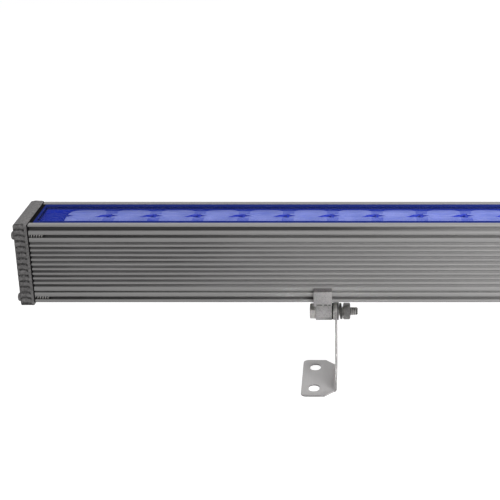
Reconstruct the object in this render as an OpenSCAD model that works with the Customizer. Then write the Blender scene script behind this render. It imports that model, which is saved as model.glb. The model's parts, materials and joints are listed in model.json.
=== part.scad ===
// Outdoor linear wall washer light: a finned aluminium extrusion with a glazed lens row on top,
// a cast cap at each end, and two L brackets that hang from clips sliding on the extrusion.
// Millimetres. +X runs along the lamp, -Y is the front, +Z is up and is the way the light shines.
// The origin is on the surface the feet stand on, under the middle of the lamp.

/* [Lamp] */
// Length over the two end caps
lamp_l = 1000; // [700:1:1400]
// Width of the extrusion
body_w = 61; // [59:0.5:66]
// Height of the extrusion
body_h = 71; // [69:0.5:80]

/* [Extrusion] */
// Wall between a groove's floor and the hollow
wall_t = 2.6; // [2:0.1:2.8]
// Depth of the grooves in the faces
groove_depth = 1.8; // [1:0.1:2]
// Pitch of the fine grooves
fine_pitch = 4.28; // [3.6:0.02:4.3]
// Width of a fine groove at its mouth
fine_mouth = 2.3; // [1.8:0.1:2.6]
// Thickness of the web that carries the LED boards
web_t = 3; // [2.5:0.1:4]
// Thickness of the floor
floor_t = 3; // [2.5:0.1:3.6]
// Width of the rim beside the glass
rim_w = 6; // [5:0.1:6.4]

/* [Light] */
// Number of LEDs on each board
per_board = 6; // [2:2:8]
// Least gap between one lens and the next
lens_gap = 4; // [3:0.1:4.4]
// Room between the lenses and the glass's ledges
lens_side = 5.4; // [4.4:0.1:7]
// Height of a lens
lens_h = 13; // [12:0.5:14]
// Thickness of the cover glass
glass_t = 3; // [2.5:0.1:4]

/* [End caps] */
// Thickness of an end cap
cap_t = 11.4; // [10.6:0.1:14]
// Distance the cap stands out past the faces
cap_side = 1.3; // [1:0.1:2]
// Distance the cap stands above the rim
cap_above = 1.3; // [1:0.1:2]
// Distance the cap hangs below the extrusion
cap_below = 2.4; // [1.5:0.1:3]
// Number of cast ribs down each side of the cap
rib_count = 14; // [10:1:16]

/* [Mounting] */
// Distance of each clip from the middle of the lamp
clip_x = 240; // [150:1:300]
// Width of a clip along the lamp
clip_w = 15.8; // [15:0.1:20]
// Height from the pivot bolt's axis up to the extrusion
axis_drop = 21.8; // [21:0.1:26]
// Height from the foot's top up to the pivot bolt's axis
arm_l = 66; // [60:0.5:90]
// Thickness of the bracket's sheet
sheet_t = 1.5; // [1.2:0.1:2.5]
// Length of the foot along the lamp
foot_l = 32; // [30:0.5:40]
// Width of the foot across the lamp
foot_w = 70; // [66:0.5:80]
// Distance between the foot's two slots
slot_spacing = 41; // [38:0.5:44]

/* [Hidden] */
$fn = 48;
overrun = 1;
run_gap = 0.3;          // between a sliding or swinging piece and what it passes
fit_gap = 0.05;         // round pieces fixed in a hole
lay_gap = 0.1;          // beside a plate that turns

// Heights of the extrusion's grooves, from its bottom
port_r = 2.05;
port_wall = 2.15;
port_inset = 3.4;
port_mouth = 2.5;
port_low_z = 3.9;
port_high_drop = 10.5;
port_y = body_w / 2 - port_inset;
port_high_z = body_h - port_high_drop;
port_zs = [port_low_z, port_high_z];
edge_break = 0.4;
groove_inset = 0.4;
clip_groove_z = 9.8;
clip_groove_w = 1.6;
fine_first_z = 15.9;
fine_rib = 3.5;
fine_last_z = port_high_z - port_mouth / 2 - fine_rib - fine_mouth / 2;
fine_count = floor((fine_last_z - fine_first_z) / fine_pitch) + 1;
rim_band_h = 1.8;
rim_groove_h = 3.4;
rim_groove_depth = 2.4;
side_in = body_w / 2 - groove_depth - wall_t;

// The light's stack, down from the rim
glass_drop = 0.6;
glass_side = 0.3;
seal_t = 0.6;
ledge_w = 2.1;
ledge_t = 2;
lens_air = 1;
board_t = 1.6;
window_y = body_w / 2 - rim_w;
ledge_y = window_y - ledge_w;
glass_z = body_h - glass_drop - glass_t;
ledge_z = glass_z - seal_t;
board_top_z = glass_z - lens_air - lens_h;
web_top_z = board_top_z - board_t;
web_z = web_top_z - web_t;
chamber_h = web_z - floor_t;

// Lengths along X
gasket_t = 1.2;
gasket_inset = 0.4;
housing_l = lamp_l - 2 * (cap_t + gasket_t);
end_seal_l = 2.4;
glass_l = housing_l - 2 * end_seal_l;

// Lenses fill the width between the ledges. As many boards as the gap allows share the length.
lens_d = 2 * (ledge_y - lens_side);
row_in = 24.2;
row_l = housing_l - 2 * row_in;
board_count = floor(row_l / (per_board * (lens_d + lens_gap)));
led_count = board_count * per_board;
led_pitch = row_l / led_count;
board_pitch = per_board * led_pitch;
board_gap = 1;
board_l = board_pitch - board_gap;
boards_end_x = row_l / 2 - board_gap / 2;
frame_side = 2;
frame_y = lens_d / 2 + frame_side;
board_side = 1;
board_y = frame_y + board_side;

// Driver and wiring
rail_t = 1.5;
rail_reach = 3;
rail_gap = 0.2;
driver_z = 14;
driver_l = 230;
driver_top_z = driver_z + board_t;
terminal_l = 14;
terminal_w = 26;
terminal_h = 11;
terminal_gap = 6;
feed_out = 11.7;
feed_x = boards_end_x + feed_out;
driver_x0 = feed_x + terminal_l / 2 - driver_l;
feed_y = 2.6;
feed_reach = 4;
wire_r = 0.9;
wire_bend_r = 4;
grommet_r = 5.5;
grommet_wall = 1.3;
grommet_lip = 1.2;

// End cap and its screws
cap_flange_t = 2.6;
cap_crown = 1.2;
cap_wall = 5.4;
cap_pocket_t = cap_t - cap_wall;
pocket_side = 9.1;
pocket_low = 7.1;
pocket_high = 4.5;
cap_pocket_y = port_y - pocket_side;
cap_pocket_z = [port_low_z + pocket_low, port_high_z - pocket_high];
cap_h = body_h + cap_above + cap_below;
cap_half_w = body_w / 2 + cap_side;
rib_pitch = cap_h / rib_count;
rib_bulge = 1.2;
rib_valley = 0.05;
rib_step = 0.1;
rib_r = (pow(rib_pitch / 2, 2) + pow(rib_bulge, 2)) / (2 * rib_bulge);
crown_r = (pow(cap_t / 2, 2) + pow(cap_crown, 2)) / (2 * cap_crown);
screw_r = port_r - fit_gap;
screw_l = 25;
screw_head_r = 3.8;
screw_head_h = 2.6;
screw_slack = 0.3;
screw_hole_r = screw_r + screw_slack;
cross_w = 1;
cross_l = 4.2;
cross_depth = 1.2;

// Cable gland in the right end cap
gland_drop = 15.8;
gland_z = web_z - gland_drop;
gland_thread_r = 6;
gland_af = 15;
gland_flange_t = 2.4;
gland_ring_t = 0.8;
gland_bore_r = 3.9;
gland_neck_r = 5.2;
gland_neck_l = 7;
gland_seal_r = 3.2;
gland_seal_l = 7;
gland_seat_r = 4.5;
gland_nut_l = 11.6;
gland_mouth_l = 4;
gland_lock_t = 3;
gland_lock_af = 17;
gland_thread_out = 1;
gland_recess = gland_flange_t + gland_ring_t;
gland_x = lamp_l / 2;

// Clip, its pads, and the pivot bolt's stack, from the clip's middle outwards
clip_plate_t = 1.6;
clip_base_t = 2.4;
clip_lip_slack = 0.4;
clip_bevel_h = 2.4;
clip_bevel_w = 0.7;
pad_h = 3.1;
pad_inset = 0.2;
hook_room = 1;
clip_in_y = body_w / 2 + hook_room;
clip_out_y = clip_in_y + clip_plate_t;
clip_lip_z = clip_groove_z - clip_groove_w / 2 + run_gap;
clip_top_z = clip_groove_z + clip_groove_w / 2 - run_gap;
lug_w = 14.4;
lug_r = 8;
bolt_r = 4;
bolt_head_t = 5.3;
bolt_af = 13;
hex_chamfer = 0.8;
hex_face_in = 0.2;
friction_t = 1.2;
friction_r = 7.4;
washer_r = 8;
washer_t = 1.6;
spring_t = 2;
spring_l = 3.7;
spring_r = 7.2;
spring_open_deg = 18;
spring_steps = 30;
nut_t = 6.5;
thread_out = 6.7;
washer_slack = 0.2;
washer_bore_r = bolt_r + washer_slack;
pivot_play = 0.08;
lug_x = lug_w / 2;
plate_x = lug_x + friction_t + washer_t + lay_gap;
outer_x = plate_x + sheet_t + lay_gap;
nut_x = outer_x + washer_t + spring_l;
bolt_end_x = nut_x + nut_t + thread_out;

// Bracket
tab_r = 12;
tab_tuck = 0.1;
arm_w = 53;
foot_chamfer_l = 8;
foot_corner_r = 5;
bend_r = 1.5;
slot_w = 9.6;
slot_l = 13;
slot_edge = 6.6;
slot_x = foot_l - slot_edge - slot_w / 2;
bend_out_r = bend_r + sheet_t;
foot_x = plate_x + sheet_t;

// Heights above the surface the feet stand on
axis_z = sheet_t + arm_l;
body_z = axis_z + axis_drop;

// Stretches a flat outline, drawn in Y and Z, along X from x0
module along_x(x0, l) {
    translate([x0, 0, 0]) rotate([90, 0, 90]) linear_extrude(l) children();
}

// Draws its child for the left and the right face
module both_sides() {
    children();
    mirror([1, 0]) children();
}

// Rod or hole along X
module rod_x(x0, l, r, y = 0, z = 0) {
    translate([x0, y, z]) rotate([0, 90, 0]) cylinder(h = l, r = r);
}

// Hexagonal bar along X with both ends' corners turned off
module hex_x(x0, l, af) {
    corner_r = af / 2 / cos(30);
    face_r = af / 2 - hex_face_in;
    wide_r = face_r + (corner_r - face_r) * l / hex_chamfer;
    translate([x0, 0, 0]) rotate([0, 90, 0]) intersection() {
        cylinder(h = l, r = corner_r, $fn = 6);
        cylinder(h = l, r1 = face_r, r2 = wide_r);
        cylinder(h = l, r1 = wide_r, r2 = face_r);
    }
}

// Puts its child, drawn from the extrusion's bottom, at the extrusion's height
module at_body() {
    translate([0, 0, body_z]) children();
}

// The right clip and bracket are the left ones turned half round
module at_clip(side) {
    rotate([0, 0, side > 0 ? 180 : 0]) translate([-clip_x, 0, 0]) children();
}

// Groove in the right face, w wide over its broken edges, narrower towards its floor
module face_groove(z, w, depth) {
    face = body_w / 2;
    mouth = w - 2 * edge_break;
    bottom = mouth - 2 * groove_inset;
    polygon([
        [face + overrun, z - mouth / 2 - edge_break],
        [face, z - mouth / 2 - edge_break],
        [face - edge_break, z - mouth / 2],
        [face - depth, z - bottom / 2],
        [face - depth, z + bottom / 2],
        [face - edge_break, z + mouth / 2],
        [face, z + mouth / 2 + edge_break],
        [face + overrun, z + mouth / 2 + edge_break]
    ]);
}

// Screw port: a bore open to the face through a slot
module screw_port(z) {
    translate([port_y, z]) circle(r = port_r);
    translate([port_y, z - port_mouth / 2]) square([port_inset + overrun, port_mouth]);
}

module housing_outline() {
    half = body_w / 2;
    polygon([
        [half - edge_break, 0], [half, edge_break],
        [half, body_h - edge_break], [half - edge_break, body_h],
        [edge_break - half, body_h], [-half, body_h - edge_break],
        [-half, edge_break], [edge_break - half, 0]
    ]);
}

module housing_section() {
    rim_groove_z = body_h - rim_band_h - rim_groove_h / 2;
    difference() {
        housing_outline();
        both_sides() {
            face_groove(rim_groove_z, rim_groove_h, rim_groove_depth);
            for (i = [0 : fine_count - 1])
                face_groove(fine_first_z + i * fine_pitch, fine_mouth, groove_depth);
            translate([body_w / 2 - groove_depth, clip_groove_z - clip_groove_w / 2])
                square([groove_depth + overrun, clip_groove_w]);
            for (z = port_zs) screw_port(z);
        }
        // Window for the glass, the ledge under it, the LED trough and the driver's chamber
        translate([-window_y, ledge_z]) square([2 * window_y, body_h]);
        translate([-ledge_y, web_top_z]) square([2 * ledge_y, body_h]);
        difference() {
            union() {
                translate([-side_in, web_top_z])
                    square([2 * side_in, ledge_z - ledge_t - web_top_z]);
                translate([-side_in, floor_t]) square([2 * side_in, chamber_h]);
            }
            both_sides() {
                for (z = port_zs) translate([port_y, z]) circle(r = port_r + port_wall);
                for (z = [driver_z - rail_gap - rail_t, driver_top_z + rail_gap])
                    translate([side_in - rail_reach, z]) square([rail_reach + overrun, rail_t]);
            }
        }
    }
}

module housing() {
    color([0.62, 0.62, 0.61]) at_body() difference() {
        along_x(-housing_l / 2, housing_l) housing_section();
        board_screw_places() translate([0, 0, web_z - overrun])
            cylinder(h = web_t + 2 * overrun, r = board_screw_r + fit_gap);
        translate([feed_x, 0, web_z - overrun])
            cylinder(h = web_t + 2 * overrun, r = grommet_r);
    }
}

// The cap's plate, and the column of rounded ribs down its right side
module cap_outline(half_w) {
    translate([-half_w, -cap_below]) square([2 * half_w, cap_h]);
}

module cap_ribs() {
    for (i = [0 : rib_count - 1])
        translate([cap_half_w - rib_step - rib_r, -cap_below + (i + 0.5) * rib_pitch])
            circle(r = rib_r);
}

// The cap's profile seen from the front: its top is crowned along X
module cap_crown_profile() {
    top = body_h + cap_above;
    translate([cap_t / 2, top - crown_r]) circle(r = crown_r, $fn = 96);
    translate([-overrun, -cap_below]) square([cap_t + 2 * overrun, top + cap_below - crown_r]);
}

// End cap of the left end, drawn with its outer face at x = 0
module cap_shape(pocket_t) {
    difference() {
        intersection() {
            union() {
                along_x(0, cap_t) cap_outline(cap_half_w - rib_bulge + rib_valley);
                along_x(cap_t - cap_flange_t, cap_flange_t) cap_outline(cap_half_w);
                along_x(0, cap_t - cap_flange_t) intersection() {
                    both_sides() cap_ribs();
                    cap_outline(cap_half_w + overrun);
                }
            }
            translate([0, cap_half_w + overrun, 0]) rotate([90, 0, 0])
                linear_extrude(2 * (cap_half_w + overrun)) cap_crown_profile();
        }
        translate([cap_t - pocket_t, -cap_pocket_y, cap_pocket_z[0]])
            cube([pocket_t + overrun, 2 * cap_pocket_y, cap_pocket_z[1] - cap_pocket_z[0]]);
        for (y = [-port_y, port_y], z = port_zs)
            rod_x(-overrun, cap_t + 2 * overrun, screw_hole_r, y, z);
    }
}

module left_end_cap() {
    color([0.47, 0.46, 0.46]) at_body() translate([-lamp_l / 2, 0, 0]) cap_shape(cap_pocket_t);
}

module right_end_cap() {
    color([0.47, 0.46, 0.46]) at_body() difference() {
        translate([lamp_l / 2, 0, 0]) mirror([1, 0, 0]) cap_shape(cap_pocket_t);
        translate([0, 0, gland_z]) {
            rod_x(gland_x - cap_t, cap_t + overrun, gland_thread_r + fit_gap);
            rod_x(gland_x - gland_recess, gland_recess + overrun,
                  gland_af / 2 / cos(30) + run_gap);
        }
    }
}

module cap_gasket(x0) {
    color([0.13, 0.13, 0.13]) at_body() difference() {
        along_x(x0, gasket_t) translate([gasket_inset - body_w / 2, gasket_inset])
            square([body_w - 2 * gasket_inset, body_h - 2 * gasket_inset]);
        for (y = [-port_y, port_y], z = port_zs)
            rod_x(x0 - overrun, gasket_t + 2 * overrun, screw_hole_r, y, z);
        translate([x0 - overrun, -cap_pocket_y, cap_pocket_z[0]])
            cube([gasket_t + 2 * overrun, 2 * cap_pocket_y, cap_pocket_z[1] - cap_pocket_z[0]]);
    }
}

module left_cap_gasket() { cap_gasket(-housing_l / 2 - gasket_t); }
module right_cap_gasket() { cap_gasket(housing_l / 2); }

// Self-tapping pan head screw along +X, its head's underside at x = 0
module cap_screw() {
    difference() {
        union() {
            rod_x(0, screw_l, screw_r);
            rod_x(-screw_head_h / 2, screw_head_h / 2, screw_head_r);
            translate([-screw_head_h, 0, 0]) rotate([0, 90, 0])
                cylinder(h = screw_head_h / 2, r1 = screw_head_r - screw_head_h / 2,
                         r2 = screw_head_r);
        }
        for (turn = [0, 90]) rotate([turn, 0, 0])
            translate([-screw_head_h - overrun, -cross_l / 2, -cross_w / 2])
                cube([cross_depth + overrun, cross_l, cross_w]);
    }
}

module cap_screws(side) {
    color([0.35, 0.35, 0.36]) at_body() mirror([side > 0 ? 1 : 0, 0, 0])
        for (y = [-port_y, port_y], z = port_zs)
            translate([-lamp_l / 2, y, z]) cap_screw();
}

module left_cap_screws() { cap_screws(-1); }
module right_cap_screws() { cap_screws(1); }

module cover_glass() {
    glass_w = 2 * (window_y - glass_side);
    color([0.3, 0.4, 0.9, 0.35]) at_body()
        translate([-glass_l / 2, -glass_w / 2, glass_z]) cube([glass_l, glass_w, glass_t]);
}

// Flat rubber frame between the glass and the ledges
module glass_gasket() {
    gasket_w = 2 * (window_y - glass_side);
    hole_l = glass_l - 2 * ledge_w;
    color([0.1, 0.1, 0.12]) at_body() translate([0, 0, ledge_z]) linear_extrude(seal_t)
        difference() {
            square([glass_l, gasket_w], center = true);
            square([hole_l, 2 * ledge_y], center = true);
        }
}

// Black block that fills the window between the glass and each cap gasket
module glass_end_seals() {
    color([0.06, 0.06, 0.07]) at_body() for (x = [-housing_l / 2, housing_l / 2 - end_seal_l])
        translate([x, glass_side - window_y, ledge_z])
            cube([end_seal_l, 2 * (window_y - glass_side), glass_t + seal_t]);
}

function led_x(i) = (i - (led_count - 1) / 2) * led_pitch;
function board_x(b) = (b - (board_count - 1) / 2) * board_pitch;

// Collimating lens: a flange with a wedge-shaped notch at +X, a cone under it and a hollow
// over the LED
lens_flange_t = 2;
lens_flange_w = 1.4;
lens_foot_r = 6.5;
lens_neck_r = lens_d / 2 - lens_flange_w;
lens_hollow_r = 3.4;
lens_hollow_h = 3.6;
lens_rim_w = 6;
lens_dish_r = lens_d / 2 - lens_rim_w;
lens_dish_h = 0.8;
lens_notch_l = 11;
lens_notch_w = 8;
lens_notch_h = 3;

module lens() {
    flange_z = lens_h - lens_flange_t;
    notch_half = lens_notch_w / 2 * (lens_notch_l + overrun) / lens_notch_l;
    difference() {
        rotate_extrude() polygon([
            [0, lens_hollow_h], [lens_hollow_r / 2, lens_hollow_h],
            [lens_hollow_r, lens_hollow_h / 2], [lens_hollow_r, 0], [lens_foot_r, 0],
            [lens_neck_r, flange_z], [lens_d / 2, flange_z], [lens_d / 2, lens_h],
            [lens_dish_r, lens_h], [lens_dish_r - lens_dish_h, lens_h - lens_dish_h],
            [0, lens_h - lens_dish_h]
        ]);
        translate([lens_d / 2, 0, lens_h - lens_notch_h]) linear_extrude(lens_notch_h + overrun)
            polygon([[-lens_notch_l, 0], [overrun, -notch_half], [overrun, notch_half]]);
    }
}

module lenses() {
    color([0.55, 0.62, 0.95]) at_body() for (i = [0 : led_count - 1])
        translate([led_x(i), 0, board_top_z]) lens();
}

// Tray over each board: a plate under the lens flanges on two side legs.
// The trays at the ends run on to the ends of the window.
frame_plate_t = 1.4;
frame_leg_t = 1.2;
frame_gap = 0.4;

module lens_frame(b) {
    x0 = b == 0 ? frame_gap - housing_l / 2 : board_x(b) - board_l / 2;
    x1 = b == board_count - 1 ? housing_l / 2 - frame_gap : board_x(b) + board_l / 2;
    plate_z = lens_h - lens_flange_t - frame_plate_t;
    translate([0, 0, board_top_z]) difference() {
        along_x(x0, x1 - x0) difference() {
            translate([-frame_y, 0]) square([2 * frame_y, plate_z + frame_plate_t]);
            translate([frame_leg_t - frame_y, -overrun])
                square([2 * (frame_y - frame_leg_t), plate_z + overrun]);
        }
        for (i = [b * per_board : (b + 1) * per_board - 1]) translate([led_x(i), 0, plate_z - overrun])
            cylinder(h = frame_plate_t + 2 * overrun, r = lens_neck_r + run_gap);
    }
}

module lens_frames() {
    color([0.25, 0.32, 0.85]) at_body() for (b = [0 : board_count - 1]) lens_frame(b);
}

emitter_w = 3.5;
emitter_t = 0.8;
dome_r = 1.4;

module led_emitters() {
    color([0.95, 0.9, 0.6]) at_body() for (i = [0 : led_count - 1])
        translate([led_x(i), 0, board_top_z]) {
            translate([-emitter_w / 2, -emitter_w / 2, 0]) cube([emitter_w, emitter_w, emitter_t]);
            intersection() {
                translate([0, 0, emitter_t]) sphere(r = dome_r);
                cylinder(h = emitter_t + dome_r, r = emitter_w / 2);
            }
        }
}

// Screws beside the second and the last but one LED of each board
board_screw_r = 1.5;
board_screw_head_r = 2.8;
board_screw_head_h = 1.6;
board_screw_slack = 0.2;
board_screw_in = 5;
board_screw_y = board_y - board_screw_in;

module board_screw_places() {
    for (b = [0 : board_count - 1], x = [-1, 1], y = [-board_screw_y, board_screw_y])
        translate([board_x(b) + x * (board_pitch / 2 - led_pitch), y, 0]) children();
}

module led_boards() {
    color([0.9, 0.9, 0.88]) at_body() translate([0, 0, web_top_z]) difference() {
        for (b = [0 : board_count - 1]) translate([board_x(b) - board_l / 2, -board_y, 0])
            cube([board_l, 2 * board_y, board_t]);
        board_screw_places() translate([0, 0, -overrun])
            cylinder(h = board_t + 2 * overrun, r = board_screw_r + board_screw_slack);
    }
}

module board_screws() {
    color([0.75, 0.75, 0.75]) at_body() board_screw_places() {
        translate([0, 0, web_z]) cylinder(h = web_t + board_t, r = board_screw_r);
        translate([0, 0, board_top_z]) cylinder(h = board_screw_head_h, r = board_screw_head_r);
    }
}

// Two short wires across each gap between boards
link_l = 14;
link_y = 8;

module link_wires() {
    color([0.8, 0.2, 0.15]) at_body()
        for (b = [0 : board_count - 2], y = [-link_y, link_y])
            rod_x((board_x(b) + board_x(b + 1) - link_l) / 2, link_l, wire_r, y,
                  board_top_z + wire_r);
}

// Two wires from the driver's output up through the web, bent over to the last board
module feed_wires() {
    foot_z = driver_top_z + terminal_h;
    lay_z = board_top_z + wire_r;
    last_x = boards_end_x - feed_reach;
    color([0.75, 0.15, 0.12]) at_body() for (y = [-feed_y, feed_y]) {
        translate([feed_x, y, foot_z])
            cylinder(h = lay_z - wire_bend_r - foot_z, r = wire_r);
        translate([feed_x - wire_bend_r, y, lay_z - wire_bend_r]) rotate([90, 0, 0])
            rotate_extrude(angle = 90) translate([wire_bend_r, 0]) circle(r = wire_r);
        rod_x(last_x, feed_x - wire_bend_r - last_x, wire_r, y, lay_z);
    }
}

module wire_grommet() {
    color([0.1, 0.1, 0.1]) at_body() translate([feed_x, 0, web_z]) difference() {
        union() {
            cylinder(h = web_t, r = grommet_r - fit_gap);
            for (z = [-grommet_lip, web_t]) translate([0, 0, z])
                cylinder(h = grommet_lip, r = grommet_r + grommet_lip);
        }
        translate([0, 0, -grommet_lip - overrun])
            cylinder(h = web_t + 2 * (grommet_lip + overrun), r = grommet_r - grommet_wall);
    }
}

module driver_board() {
    half = side_in - 2 * rail_gap;
    color([0.1, 0.35, 0.18]) at_body() translate([driver_x0, -half, driver_z])
        cube([driver_l, 2 * half, board_t]);
}

// Driver parts stand on the board at shares of its length from its left end,
// and each fills its own share of the room between the board and the web
driver_room = web_z - driver_top_z;
coil_shares = [0.14, 0.46];
coil_r = 10;
coil_fill_share = 0.51;
coil_h = driver_room * coil_fill_share;
coil_flange_t = 2;
capacitor_shares = [0.28, 0.36, 0.6];
capacitor_r = 6.5;
capacitor_fill_share = 0.66;
capacitor_h = driver_room * capacitor_fill_share;
sink_share = 0.74;
sink_l = 30;
sink_w = 24;
sink_fill_share = 0.6;
sink_h = driver_room * sink_fill_share;
sink_base_t = 3;
sink_fins = 5;
sink_fin_t = 1.6;

module on_driver(share) {
    translate([driver_x0 + share * driver_l, 0, body_z + driver_top_z]) children();
}

module driver_coils() {
    color([0.7, 0.4, 0.15]) for (share = coil_shares) on_driver(share) {
        cylinder(h = coil_h, r = coil_r - coil_flange_t);
        for (z = [0, coil_h - coil_flange_t]) translate([0, 0, z])
            cylinder(h = coil_flange_t, r = coil_r);
    }
}

module driver_capacitors() {
    color([0.12, 0.15, 0.3]) for (share = capacitor_shares) on_driver(share)
        cylinder(h = capacitor_h, r = capacitor_r);
}

module driver_heat_sink() {
    fin_step = (sink_w - sink_fin_t) / (sink_fins - 1);
    color([0.6, 0.6, 0.62]) on_driver(sink_share) translate([-sink_l / 2, -sink_w / 2, 0]) {
        cube([sink_l, sink_w, sink_base_t]);
        for (i = [0 : sink_fins - 1]) translate([0, i * fin_step, 0])
            cube([sink_l, sink_fin_t, sink_h]);
    }
}

// Screw terminals: the output under the wires to the LEDs, the inlet beside it
module driver_terminals() {
    output_x = feed_x - terminal_l / 2;
    color([0.15, 0.45, 0.3]) at_body() for (x = [output_x, output_x - terminal_gap - terminal_l])
        translate([x, -terminal_w / 2, driver_top_z]) cube([terminal_l, terminal_w, terminal_h]);
}

module at_gland() {
    translate([gland_x, 0, body_z + gland_z]) children();
}

module gland_body() {
    spigot_l = cap_wall - gland_recess + gland_lock_t + gland_thread_out;
    color([0.2, 0.2, 0.21]) at_gland() difference() {
        union() {
            hex_x(-gland_flange_t, gland_flange_t, gland_af);
            rod_x(-gland_flange_t - gland_ring_t - spigot_l, spigot_l + gland_ring_t,
                  gland_thread_r);
            rod_x(0, gland_neck_l, gland_neck_r);
        }
        rod_x(-gland_recess - spigot_l - overrun,
              gland_recess + spigot_l + gland_neck_l + 2 * overrun, gland_bore_r);
        rod_x(0, gland_neck_l + overrun, gland_seat_r);
    }
}

module gland_ring() {
    color([0.05, 0.05, 0.05]) at_gland() difference() {
        rod_x(-gland_recess, gland_ring_t, gland_af / 2);
        rod_x(-gland_recess - overrun, gland_ring_t + 2 * overrun, gland_thread_r + fit_gap);
    }
}

module gland_locknut() {
    lock_x = -cap_wall - gland_lock_t;
    color([0.2, 0.2, 0.21]) at_gland() difference() {
        hex_x(lock_x, gland_lock_t, gland_lock_af);
        rod_x(lock_x - overrun, gland_lock_t + 2 * overrun, gland_thread_r + fit_gap);
    }
}

module gland_seal() {
    color([0.05, 0.05, 0.05]) at_gland() difference() {
        rod_x(0, gland_seal_l, gland_seat_r - fit_gap);
        rod_x(-overrun, gland_seal_l + 2 * overrun, gland_seal_r);
    }
}

module gland_nut() {
    cavity_l = gland_nut_l - gland_mouth_l;
    color([0.2, 0.2, 0.21]) at_gland() difference() {
        hex_x(run_gap, gland_nut_l, gland_af);
        rod_x(run_gap - overrun, cavity_l + overrun, gland_neck_r + fit_gap);
        rod_x(0, gland_nut_l + 2 * overrun, gland_bore_r);
    }
}

// Clip section: a plate under the extrusion, with a side that hooks into each face's groove
module clip_side() {
    lip_in = body_w / 2 - groove_depth + clip_lip_slack;
    polygon([
        [0, -run_gap - clip_base_t], [clip_out_y, -run_gap - clip_base_t],
        [clip_out_y, clip_top_z - clip_bevel_h], [clip_out_y - clip_bevel_w, clip_top_z],
        [lip_in, clip_top_z], [lip_in, clip_lip_z], [clip_in_y, clip_lip_z],
        [clip_in_y, -run_gap], [0, -run_gap]
    ]);
}

module clip_shape() {
    difference() {
        union() {
            along_x(-clip_w / 2, clip_w) both_sides() clip_side();
            along_x(-lug_w / 2, lug_w) {
                translate([-lug_r, -axis_drop])
                    square([2 * lug_r, axis_drop - run_gap - clip_base_t / 2]);
                translate([0, -axis_drop]) circle(r = lug_r);
            }
        }
        rod_x(-clip_w, 2 * clip_w, bolt_r + fit_gap, 0, -axis_drop);
    }
}

module clip_pads_shape() {
    along_x(-clip_w / 2, clip_w) both_sides()
        translate([body_w / 2 + run_gap, clip_top_z])
            square([clip_out_y - clip_bevel_w - pad_inset - body_w / 2 - run_gap, pad_h]);
}

// Hexagon bolt along X: its head against the lug's left, its end past the nut
module bolt_shape() {
    hex_x(-lug_x - bolt_head_t, bolt_head_t, bolt_af);
    rod_x(-lug_x, bolt_end_x + lug_x - hex_chamfer, bolt_r);
    translate([bolt_end_x - hex_chamfer, 0, 0]) rotate([0, 90, 0])
        cylinder(h = hex_chamfer, r1 = bolt_r, r2 = bolt_r - hex_chamfer);
}

module ring_x(x0, t, r_out, r_in) {
    difference() {
        rod_x(x0, t, r_out);
        rod_x(x0 - overrun, t + 2 * overrun, r_in);
    }
}

module nut_shape() {
    difference() {
        hex_x(nut_x, nut_t, bolt_af);
        rod_x(nut_x - overrun, nut_t + 2 * overrun, bolt_r + fit_gap);
    }
}

// Split spring washer, swept as one open turn that climbs as it goes round
module spring_washer_shape() {
    turn = 360 - spring_open_deg;
    points = [for (i = [0 : spring_steps]) let(a = turn * i / spring_steps,
                                               x = (spring_l - spring_t) * i / spring_steps)
        for (c = [[washer_bore_r, 0], [spring_r, 0], [spring_r, spring_t], [washer_bore_r, spring_t]])
            [x + c[1], c[0] * cos(a), c[0] * sin(a)]];
    walls = [for (i = [0 : spring_steps - 1], k = [0 : 3])
        [4 * i + k, 4 * i + (k + 1) % 4, 4 * (i + 1) + (k + 1) % 4, 4 * (i + 1) + k]];
    last = 4 * spring_steps;
    translate([outer_x + washer_t, 0, 0])
        polyhedron(points, concat(walls, [[3, 2, 1, 0], [last, last + 1, last + 2, last + 3]]));
}

// Arm outline in Y and Z around the bolt's axis: a round tab, widening to the bend.
// The sides run a little inside the round, so that they cross it and don't just touch.
module arm_outline() {
    bend_z = bend_r - arm_l;
    reach = sqrt(pow(arm_w / 2, 2) + pow(bend_z, 2));
    side_r = tab_r - tab_tuck;
    angle = atan2(bend_z, arm_w / 2) + acos(side_r / reach);
    circle(r = tab_r);
    polygon([
        [side_r * cos(angle), side_r * sin(angle)], [arm_w / 2, bend_z],
        [-arm_w / 2, bend_z], [-side_r * cos(angle), side_r * sin(angle)]
    ]);
}

// Foot outline in X and Y, its bent edge at x = 0: chamfered there, round at the free corners
module foot_outline() {
    chamfer_end = -bend_out_r - foot_chamfer_l;
    free_end = foot_corner_r - foot_l;
    corner_y = foot_w / 2 - foot_corner_r;
    polygon([
        [-bend_out_r, -arm_w / 2], [-bend_out_r, arm_w / 2], [chamfer_end, foot_w / 2],
        [free_end, foot_w / 2], [-foot_l, corner_y], [-foot_l, -corner_y],
        [free_end, -foot_w / 2], [chamfer_end, -foot_w / 2]
    ]);
    for (y = [-corner_y, corner_y]) translate([free_end, y]) circle(r = foot_corner_r);
}

module foot_slot() {
    half = (slot_l - slot_w) / 2;
    translate([-slot_w / 2, -half]) square([slot_w, 2 * half]);
    for (y = [-half, half]) translate([0, y]) circle(r = slot_w / 2);
}

module bracket_shape() {
    difference() {
        union() {
            translate([0, 0, axis_z]) along_x(plate_x, sheet_t) arm_outline();
            translate([foot_x, 0, 0]) {
                linear_extrude(sheet_t) foot_outline();
                translate([-bend_out_r, arm_w / 2, bend_out_r]) rotate([90, 90, 0])
                    rotate_bend();
            }
        }
        rod_x(plate_x - overrun, sheet_t + 2 * overrun, bolt_r + pivot_play, 0, axis_z);
        for (y = [-1, 1]) translate([foot_x - slot_x, y * slot_spacing / 2, -overrun])
            linear_extrude(sheet_t + 2 * overrun) foot_slot();
    }
}

// Quarter round of the bend, as wide as the arm
module rotate_bend() {
    linear_extrude(arm_w) intersection() {
        difference() {
            circle(r = bend_out_r);
            circle(r = bend_r);
        }
        square(bend_out_r);
    }
}

module at_pivot(side) {
    translate([0, 0, axis_z]) at_clip(side) children();
}

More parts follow.
